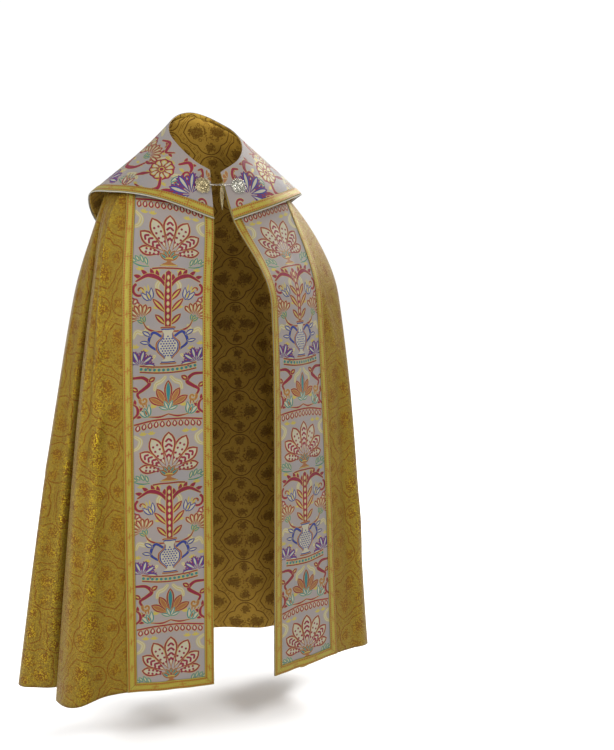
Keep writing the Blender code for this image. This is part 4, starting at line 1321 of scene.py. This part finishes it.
def strip_weave(half, length):
    """The orphrey's face: half tiles mirrored, repeated down the strip and cut at its ends."""
    flat, faces, slots = half
    work = bmesh.new()
    offset = length - DESIGN_LIFT
    while offset > -REPEAT:
        for side in (1.0, -1.0):
            verts = [work.verts.new((side * x, offset + y, 0.0)) for x, y in flat.tolist()]
            for face, slot in zip(faces.tolist(), slots.tolist()):
                made = work.faces.new([verts[i] for i in (face if side > 0 else face[::-1])])
                made.material_index = slot
        offset -= REPEAT
    bmesh.ops.remove_doubles(work, verts=work.verts[:], dist=1e-5)
    for place, way in ((0.0, -1.0), (length, 1.0)):
        geometry = work.verts[:] + work.edges[:] + work.faces[:]
        bmesh.ops.bisect_plane(work, geom=geometry, dist=1e-7, plane_co=(0.0, place, 0.0),
                               plane_no=(0.0, way, 0.0), clear_outer=True)
    bmesh.ops.triangulate(work, faces=work.faces[:])
    work.verts.index_update()
    points = np.array([vert.co[:2] for vert in work.verts])
    cells = np.array([[vert.index for vert in face.verts] for face in work.faces])
    colours = np.array([face.material_index for face in work.faces])
    work.free()
    return points, cells, colours


def add_band(name, spine, steps, place, lift, flip, material, node):
    """A length of galloon; spine(across, along) gives flat places for shares of its width and length."""
    face, back = np.linspace(0.0, 1.0, BAND_FACE_STEPS), np.linspace(0.92, 0.08, BAND_BACK_STEPS)
    across = np.concatenate((face, back))
    rise = np.clip(np.sin(np.pi * face) * 5.0, 0.35, 1.0) * BRAID_WALL
    rise = np.concatenate((rise, np.zeros(BAND_BACK_STEPS)))
    s, t = np.meshgrid(across, np.linspace(0.0, 1.0, steps))
    flat = spine(s, t)
    points = place.at(flat, lift + np.broadcast_to(rise, s.shape))
    middle = BAND_FACE_STEPS // 2
    along = lengths(points[:, middle:middle + 1], 0)
    uv = np.stack((s * BRAID_WIDTH, np.broadcast_to(along, s.shape)), axis=-1)
    faces = tube_faces(*s.shape)
    if flip:
        faces = [corners[::-1] for corners in faces]
    mesh = make_mesh(name, points, faces, uv)
    return add_piece(name, mesh, [material], "garment", node)


def add_strip_braids(side, strip, material):
    """The three lengths of galloon on an orphrey, mitred at its lower corners."""
    half, whole = ORPHREY_WIDTH / 2, strip.length
    bands = []
    for edge, way in ((-half, 1.0), (half, -1.0)):
        kind = "inner" if (side == "right") == (way > 0) else "outer"

        def run(s, t, edge=edge, way=way):
            inset = s * BRAID_WIDTH
            return np.stack((edge + way * inset, t * (whole - inset)), axis=-1)
        bands.append(add_band(f"galloon_{side}_{kind}", run, ORPHREY_BAND_STEPS, strip, BRAID_LIFT, way < 0,
                              material, f"braid_{side}_{kind}"))

    def across(s, t):
        inset = s * BRAID_WIDTH
        return np.stack((-half + inset + t * (ORPHREY_WIDTH - 2 * inset), whole - inset), axis=-1)
    bands.append(add_band(f"galloon_{side}_bottom", across, BOTTOM_BAND_STEPS, strip, BRAID_LIFT, False,
                          material, f"braid_{side}_bottom"))
    return bands


def add_hood_braid(hood, material):
    """The galloon along the hood's lower edge."""
    def around(s, t):
        edge = np.interp(t, hood.shares, hood.depth)
        return hood.flat_grid(t, edge - (1.0 - s) * BRAID_WIDTH)
    return add_band("galloon_hood", around, HOOD_BAND_STEPS, hood, SEAM_GAP, True, material, "hood_braid")


def add_lining(hood, material):
    """The hood's lining, a seam's gap under it."""
    rows, columns = np.meshgrid(np.linspace(0.0, HOOD_ROWS, LINING_ROWS),
                                np.linspace(0.0, HOOD_COLUMNS, LINING_COLUMNS), indexing="ij")
    points = hood.surface.at(rows, columns, -(HOOD_WALL + SEAM_GAP))
    shares = columns / HOOD_COLUMNS
    flat = hood.flat_grid(shares, rows / HOOD_ROWS * np.interp(shares, hood.shares, hood.depth))
    mesh = make_mesh("hood_lining_cloth", points, grid_cells(*rows.shape).tolist(), flat)
    item = add_piece("hood_lining_cloth", mesh, [material], "garment", "hood_lining")
    add_wall(item, LINING_WALL)
    return item


def add_piping(hood, material):
    """The cord at the very edge of the hood."""
    points, normals = hood.surface.points, hood.surface.normals[-1]
    down = points[-1] - points[-3]
    down /= np.linalg.norm(down, axis=-1, keepdims=True)
    centre = points[-1] + down * (PIPING_RADIUS + PIPING_GAP) - normals * (HOOD_WALL / 2)
    turn = np.linspace(0.0, 2 * np.pi, PIPING_SIDES, endpoint=False)
    ring = down[:, None] * np.cos(turn)[:, None] + normals[:, None] * np.sin(turn)[:, None]
    tube = centre[:, None] + ring * PIPING_RADIUS
    along = lengths(centre[:, None], 0)
    uv = np.stack(np.broadcast_arrays(turn * PIPING_RADIUS, along), axis=-1)
    faces = [corners[::-1] for corners in tube_faces(*tube.shape[:2])]
    mesh = make_mesh("piping_cord", tube, faces, uv)
    return add_piece("piping_cord", mesh, [material], "garment", "hood_piping")


# ---------------------------------------------------------------- the clasp

UP = (0.0, 0.0, 1.0)
RING_RADIUS = 0.0030
LOBES = 11
# The rosette's flower: rings of petals from the outer one to the heart
PetalRing = namedtuple("PetalRing", "petals start tip low high width")
PETAL_RINGS = (
    PetalRing(8, 0.0040, 0.0122, 0.0030, 0.0034, 0.0066),
    PetalRing(7, 0.0022, 0.0086, 0.0044, 0.0052, 0.0050),
    PetalRing(5, 0.0008, 0.0048, 0.0056, 0.0066, 0.0034),
)
# The chain: how many links it has, how far from one to the next, and the steps around each
LINKS = 7
LINK_PITCH = 0.0046
LINK_STEPS = 16
# How near to a flat end a corner of the frame has to be to lie on it
NEAR = 0.0001


def corners_of(node):
    """The places of a frame node's corners, each once."""
    corners = np.array([vert.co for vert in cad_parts[node].data.vertices])
    return np.unique(corners.round(7), axis=0)


def rosette_seat(side):
    """The middle of a rosette's flat back, and the way its face points."""
    corners = corners_of(f"clasp_rosette_{side}")
    offsets = corners - corners.mean(axis=0)
    normal = np.linalg.svd(offsets)[2][2]
    normal *= -np.sign(normal[1])
    heights = offsets @ normal
    return corners[heights < heights.min() + NEAR].mean(axis=0), normal


def bar_ends():
    """The middles of the clasp bar's two ends, from the wearer's right to left."""
    corners = corners_of("clasp_bar")
    offsets = corners - corners.mean(axis=0)
    places = offsets @ np.linalg.svd(offsets)[2][0]
    ends = (corners[places < places.min() + NEAR], corners[places > places.max() - NEAR])
    return sorted((Vector(end.mean(axis=0)) for end in ends), key=lambda end: end.x)


BAR_START, BAR_END = bar_ends()


class Metalwork:
    """Drawn wires, leaves and beads of one piece, gathered into a single mesh."""

    def __init__(self):
        self.points, self.faces, self.count = [], [], 0

    def sweep(self, path, widths, heights, up, sides, closed=False):
        """An oval section along a path; widths lie across the path and heights along up."""
        path = np.asarray(path, float)
        if closed:
            along = np.roll(path, -1, axis=0) - np.roll(path, 1, axis=0)
        else:
            along = np.gradient(path, axis=0)
        side = np.cross(along, np.asarray(up, float))
        side /= np.linalg.norm(side, axis=1, keepdims=True)
        over = np.cross(side, along)
        over /= np.linalg.norm(over, axis=1, keepdims=True)
        turn = np.linspace(0.0, 2 * np.pi, sides, endpoint=False)
        widths = np.broadcast_to(widths, len(path))[:, None, None]
        heights = np.broadcast_to(heights, len(path))[:, None, None]
        rings = path[:, None] + side[:, None] * widths * np.cos(turn)[:, None]
        rings = rings + over[:, None] * heights * np.sin(turn)[:, None]
        for face in tube_faces(len(path), sides, closed):
            self.faces.append([self.count + corner for corner in face])
        self.points.append(rings.reshape(-1, 3))
        self.count += rings.size // 3

    def wire(self, path, radius, closed=False, up=UP):
        """A round wire along a path."""
        self.sweep(path, radius, radius, up, 7, closed)

    def leaf(self, base, tip, width, thick, arch):
        """A leaf with a full middle; arch raises its centre line."""
        base, tip = np.asarray(base, float), np.asarray(tip, float)
        t = np.linspace(0.02, 0.98, 11)
        path = base + (tip - base) * t[:, None]
        path[:, 2] += arch * np.sin(np.pi * t)
        swell = np.sin(np.pi * t ** 0.8) ** 0.75
        self.sweep(path, width / 2 * swell, thick / 2 * (0.35 + 0.65 * swell), UP, 8)

    def bead(self, centre, radius):
        """A small ball."""
        t = np.linspace(-0.96, 0.96, 7)
        path = np.asarray(centre) + np.stack((t * 0, t * 0, t), axis=1) * radius
        reach = radius * np.sqrt(1 - t ** 2)
        self.sweep(path, reach, reach, (1.0, 0.0, 0.0), 8)

    def mesh(self, name, place):
        """The gathered mesh, moved to its place."""
        points = np.concatenate(self.points) @ np.array(place.to_3x3()).T + np.array(place.translation)
        mesh = bpy.data.meshes.new(name)
        mesh.from_pydata(points, [], self.faces)
        mesh.shade_smooth()
        mesh.update()
        return mesh


def frame_from(place, normal, along):
    """A placing whose Z is the normal and whose X points along."""
    z = Vector(normal).normalized()
    x = (Vector(along) - z * z.dot(Vector(along))).normalized()
    return Matrix.Translation(place) @ Matrix((x, z.cross(x), z)).transposed().to_4x4()


def on_bar(share):
    """A placing on the bar, X along it and Y up, at a share of its length."""
    across = BAR_END - BAR_START
    return frame_from(BAR_START.lerp(BAR_END, share), across.cross(Vector(UP)), across)


def polar(radius, degrees, height=0.0):
    """A place at a distance and an angle from a rosette's middle."""
    angle = math.radians(degrees)
    return np.array((radius * math.cos(angle), radius * math.sin(angle), height))


def arc(centre, radius, start, end, height, count=14):
    """Places along an arc, between two angles in degrees."""
    return [centre + polar(radius, angle, height) for angle in np.linspace(start, end, count)]


def add_rosette(side, along, material):
    """A filigree rosette: scalloped wire lace around a domed flower of three rings of petals."""
    work = Metalwork()
    for lobe in range(LOBES):
        middle = 360.0 * lobe / LOBES + 4.0 * math.sin(2.3 * lobe)
        centre = polar(0.0148, middle)
        outer = 0.0046 + 0.0003 * math.sin(3.1 * lobe)
        tilt = 0.0022 + 0.0006 * math.sin(1.7 * lobe)
        work.wire(arc(centre, outer, middle - 125, middle + 125, tilt), 0.00055)
        work.wire(arc(centre, outer * 0.62, middle - 150, middle + 150, tilt + 0.0002), 0.00040)
        work.wire(arc(polar(0.0158, middle), 0.0012, 0, 330, tilt + 0.0003, 9), 0.00036)
        work.bead(polar(0.0187, middle, tilt + 0.0004), 0.00075)
        work.bead(polar(0.0162, middle + 180.0 / LOBES, 0.0026), 0.00095)
        foot, head = polar(0.0086, middle - 9, 0.0012), polar(0.0152, middle - 4, tilt)
        work.wire([foot, (foot + head) / 2 + (0, 0, 0.0012), head], 0.00045)
    # two notched rings, and the plate behind the flower
    for radius, height, thick in ((0.0112, 0.0024, 0.00075), (0.0150, 0.0016, 0.00060)):
        angles = enumerate(np.linspace(0, 360, 72, endpoint=False))
        notched = [polar(radius + 0.00030 * (-1) ** i, angle, height) for i, angle in angles]
        work.wire(notched, thick, closed=True)
    plate = np.array((0.0150, 0.0151, 0.0149, 0.0140))
    work.sweep([polar(0.0, 0, z) for z in np.linspace(0.0004, 0.0016, 4)], plate, plate, (1, 0, 0), 36)
    lift = np.array((0.0, 0.0, 0.0007))
    for number, ring in enumerate(PETAL_RINGS):
        for petal in range(ring.petals):
            angle = 360.0 * petal / ring.petals + 21.0 * number + 5.0 * math.sin(4.0 * petal + number)
            base, end = polar(ring.start, angle, ring.low), polar(ring.tip, angle, ring.high)
            work.leaf(base, end, ring.width, 0.0009, 0.0010)
            work.wire([base + lift, (base + end) / 2 + lift + (0, 0, 0.0011), end + lift], 0.00032)
    work.bead(polar(0.0, 0, 0.0066), 0.0014)
    for angle in range(0, 360, 60):
        work.bead(polar(0.0020, angle, 0.0064), 0.0006)
    place, normal = rosette_seat(side)
    mesh = work.mesh(f"rosette_{side}", frame_from(place, normal, along))
    return add_piece(f"rosette_{side}", mesh, [material], "garment", f"clasp_rosette_{side}")


def add_chain(material):
    """Small links from one rosette to the middle, then a hook of wire to the other."""
    work = Metalwork()
    span = (BAR_END - BAR_START).length
    for link in range(LINKS):
        flat = link % 2
        ring = []
        for angle in np.linspace(0, 2 * np.pi, LINK_STEPS, endpoint=False):
            x = 0.0012 + link * LINK_PITCH + 0.0032 * math.cos(angle)
            width = 0.0017 * math.sin(angle)
            ring.append((x, width, 0.0) if flat else (x, 0.0, width))
        work.wire(ring, 0.00042, closed=True, up=UP if flat else (0.0, 1.0, 0.0))
    bend = LINKS * LINK_PITCH - 0.0010
    hook = ((bend + 0.0020, 0.0004, 0.0), (bend - 0.0004, 0.0010, 0.0), (bend - 0.0012, 0.0, 0.0),
            (bend, -0.0012, 0.0), (bend + 0.0050, -0.0012, 0.0), (bend + 0.0110, 0.0006, 0.0),
            (span - 0.0050, 0.0012, 0.0), (span + 0.0010, 0.0, 0.0))
    keys = np.linspace(0.0, 1.0, len(hook))
    work.wire(round_curve(keys, np.array(hook), np.linspace(0.0, 1.0, 44)), 0.00055)
    work.bead((span + 0.0006, 0.0, 0.0), 0.0012)
    work.bead((-0.0002, 0.0, 0.0), 0.0012)
    mesh = work.mesh("clasp_chain", on_bar(0.0))
    return add_piece("clasp_chain", mesh, [material], "garment", "clasp_bar")


def add_pendant(material):
    """A slim openwork leaf that hangs from a ring around the chain."""
    work = Metalwork()
    turn = np.linspace(0, 2 * np.pi, 20, endpoint=False)
    ring = RING_RADIUS * np.stack((turn * 0, np.cos(turn), np.sin(turn)), axis=1)
    work.wire(ring, 0.00065, closed=True, up=(1.0, 0.0, 0.0))
    top, length, half = -RING_RADIUS, 0.0545, 0.0038
    t = np.linspace(0.0, 1.0, 30)
    swell = np.sin(np.pi * t ** 0.72) ** 0.85 * half
    right = np.stack((swell, top - t * length, t * 0), axis=1)
    left = (right * (-1, 1, 1))[::-1][1:-1]
    work.wire(np.concatenate((right, left)), 0.00050, closed=True)
    work.wire([(0.0, top - length * u, 0.0005) for u in np.linspace(0.0, 1.0, 16)], 0.00045)
    for rung in np.linspace(0.13, 0.86, 10):
        reach = float(np.interp(rung, t, swell)) * 0.94
        y = top - rung * length
        for side in (-1.0, 1.0):
            tip = side * reach
            work.leaf((0.0, y, 0.0), (tip, y + 0.0036, 0.0), 0.0017, 0.0007, 0.0004)
            vein = [(0.0, y - 0.0008, 0.0), (tip * 0.5, y - 0.0012, 0.0003), (tip, y + 0.0016, 0.0)]
            work.wire(vein, 0.00034)
        work.bead((0.0, y, 0.0008), 0.0006)
    work.bead((0.0, top - 0.0012, 0.0), 0.0012)
    work.bead((0.0, top - length, 0.0), 0.0010)
    mesh = work.mesh("openwork_leaf", on_bar(0.5))
    return add_piece("openwork_leaf", mesh, [material], "pendant", "clasp_pendant")


# ---------------------------------------------------------------- stage and assembly

# How far an outline stays inside its cloth's edge, so that rounding loses no face
EDGE_INSET = 1e-6
# The photograph's frame in pixels: its size, the column of the garment's origin, and the lens's focal length
FRAME_WIDTH = 614.0
FRAME_HEIGHT = 750.0
ORIGIN_COLUMN = 211.0
FOCAL_LENGTH = 1040.0
SENSOR_HEIGHT = 36.0
# The camera's place around the garment, in degrees and metres, and its tilt
CAMERA_AZIMUTH = -22.0
CAMERA_DISTANCE = 2.6
CAMERA_HEIGHT = -0.115
CAMERA_PITCH = -9.0
FLOOR_SIZE = 400
FLOOR_HEIGHT = -1.43
SKY_STRENGTH = 1.04
Lamp = namedtuple("Lamp", "name place target size power")
LAMPS = (
    Lamp("window", (-3.8, -0.9, 1.1), (0, 0, -0.6), 1.7, 118),
    Lamp("front", (0.5, -3.0, 1.9), (0, 0, -0.5), 0.9, 68),
    Lamp("rear", (3.3, 1.5, 1.9), (0, 0, -0.6), 1.8, 142),
)


def add_to_stage(name, data, place, forward):
    """A lamp or camera that looks forward from its place."""
    item = bpy.data.objects.new(name, data)
    bpy.context.scene.collection.objects.link(item)
    item.location = place
    item.rotation_mode = "QUATERNION"
    item.rotation_quaternion = forward.to_track_quat("-Z", "Y")
    return item


def add_lamp(lamp):
    data = bpy.data.lights.new(lamp.name, "AREA")
    data.shape = "SQUARE"
    data.size = lamp.size
    data.energy = lamp.power
    add_to_stage(lamp.name, data, lamp.place, Vector(lamp.target) - Vector(lamp.place))


def add_camera():
    """A camera at the photograph's angle, turned aside so that the garment stands left of the middle."""
    data = bpy.data.cameras.new("camera")
    data.sensor_fit = "VERTICAL"
    data.sensor_height = SENSOR_HEIGHT
    data.lens = FOCAL_LENGTH * SENSOR_HEIGHT / FRAME_HEIGHT
    azimuth, pitch = math.radians(CAMERA_AZIMUTH), math.radians(CAMERA_PITCH)
    place = Vector((math.sin(azimuth) * CAMERA_DISTANCE, -math.cos(azimuth) * CAMERA_DISTANCE, CAMERA_HEIGHT))
    aside = math.atan((FRAME_WIDTH / 2 - ORIGIN_COLUMN) / FOCAL_LENGTH)
    heading = math.atan2(-place.y, -place.x) - aside
    level = math.cos(pitch)
    forward = Vector((math.cos(heading) * level, math.sin(heading) * level, math.sin(pitch)))
    bpy.context.scene.camera = add_to_stage("camera", data, place, forward)


def build_stage():
    """The camera, the soft studio light and the pale floor."""
    add_camera()
    world = bpy.data.worlds.new("world")
    bpy.context.scene.world = world
    world.use_nodes = True
    sky = world.node_tree.nodes["Background"]
    sky.inputs["Color"].default_value = (1, 1, 1, 1)
    sky.inputs["Strength"].default_value = SKY_STRENGTH
    bpy.context.scene.view_settings.view_transform = "Standard"
    for lamp in LAMPS:
        add_lamp(lamp)
    bpy.ops.mesh.primitive_plane_add(size=FLOOR_SIZE, location=(0, 0, FLOOR_HEIGHT))
    floor = bpy.context.object
    floor.name = "floor"
    floor.data.materials.append(plain_floor())


def half_repeat():
    """The right half of the orphreys' cloth over one repeat, with what reaches in from its neighbours."""
    half_width = ORPHREY_WIDTH / 2
    outline = np.array(((0.0, 0.0), (half_width, 0.0), (half_width, REPEAT), (0.0, REPEAT)))
    tile = orphrey_tile()
    marks = [Mark(mark.outline + (0.0, shift), mark.colour)
             for shift in (-REPEAT, 0.0, REPEAT) for mark in tile]
    near = [mark for mark in marks if mark.outline[:, 1].max() > 0.0 and mark.outline[:, 1].min() < REPEAT]
    return inlay(outline, near, WEAVE_SPACING)


def add_orphreys(body, weaves, braid):
    """The two tapestry bands down the front edges, each with its galloon."""
    half = half_repeat()
    for side, at_start in (("right", True), ("left", False)):
        strip = Strip(body, at_start)
        end = strip.length
        x = ORPHREY_WIDTH / 2 - EDGE_INSET
        outline = np.array(((-x, EDGE_INSET), (x, EDGE_INSET), (x, end - EDGE_INSET), (-x, end - EDGE_INSET)))
        panel = add_woven(f"orphrey_cloth_{side}", strip_weave(half, end), outline, strip,
                          ORPHREY_LIFT + ORPHREY_WALL, ORPHREY_WALL, weaves, f"orphrey_{side}")
        bands = add_strip_braids(side, strip, braid)


def add_hood(weaves, braid):
    """The hood collar with its galloon, piping and lining; its cut is measured on the flat cloth."""
    hood = Hood()
    outline = hood.outline()
    woven = inlay(outline, mirrored(hood_design(hood)), HOOD_SPACING)
    shield = add_woven("hood_cloth", woven, outline, hood, 0.0, HOOD_WALL, weaves, "hood")
    edging = [add_hood_braid(hood, braid), add_piping(hood, cord_finish())]
    # The lining's brocade is painted lighter to make up for the shade under the hood
    inner = add_lining(hood, brocade("lining_painted_lighter", LINING_PAINTED_LIGHTER, 0.5, 0.5))
    swept = (hood.radius + hood.depth) ** 2 - hood.radius ** 2
    area = 0.25 * float(((swept[1:] + swept[:-1]) * np.diff(hood.angles)).sum())
    for item, pieces in ((shield, edging), (inner, ())):
        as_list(pieces)


def add_clasp():
    """Two rosettes, the chain between them and the leaf that hangs from it."""
    along = BAR_END - BAR_START
    dull, silvery = metal("clasp_dull"), metal("clasp_silvery")
    add_rosette("right", along, dull)
    add_rosette("left", -along, silvery)
    add_chain(silvery)
    add_pendant(dull)


def main():
    body, body_flat, crest_glints = make_body_surface()
    cloth = add_body(body, body_flat, crest_glints)
    weaves = [tapestry(colour) for colour in COLOURS]
    braid = galloon()
    add_orphreys(body, weaves, braid)
    add_hood(weaves, braid)
    add_clasp()
    build_stage()


main()
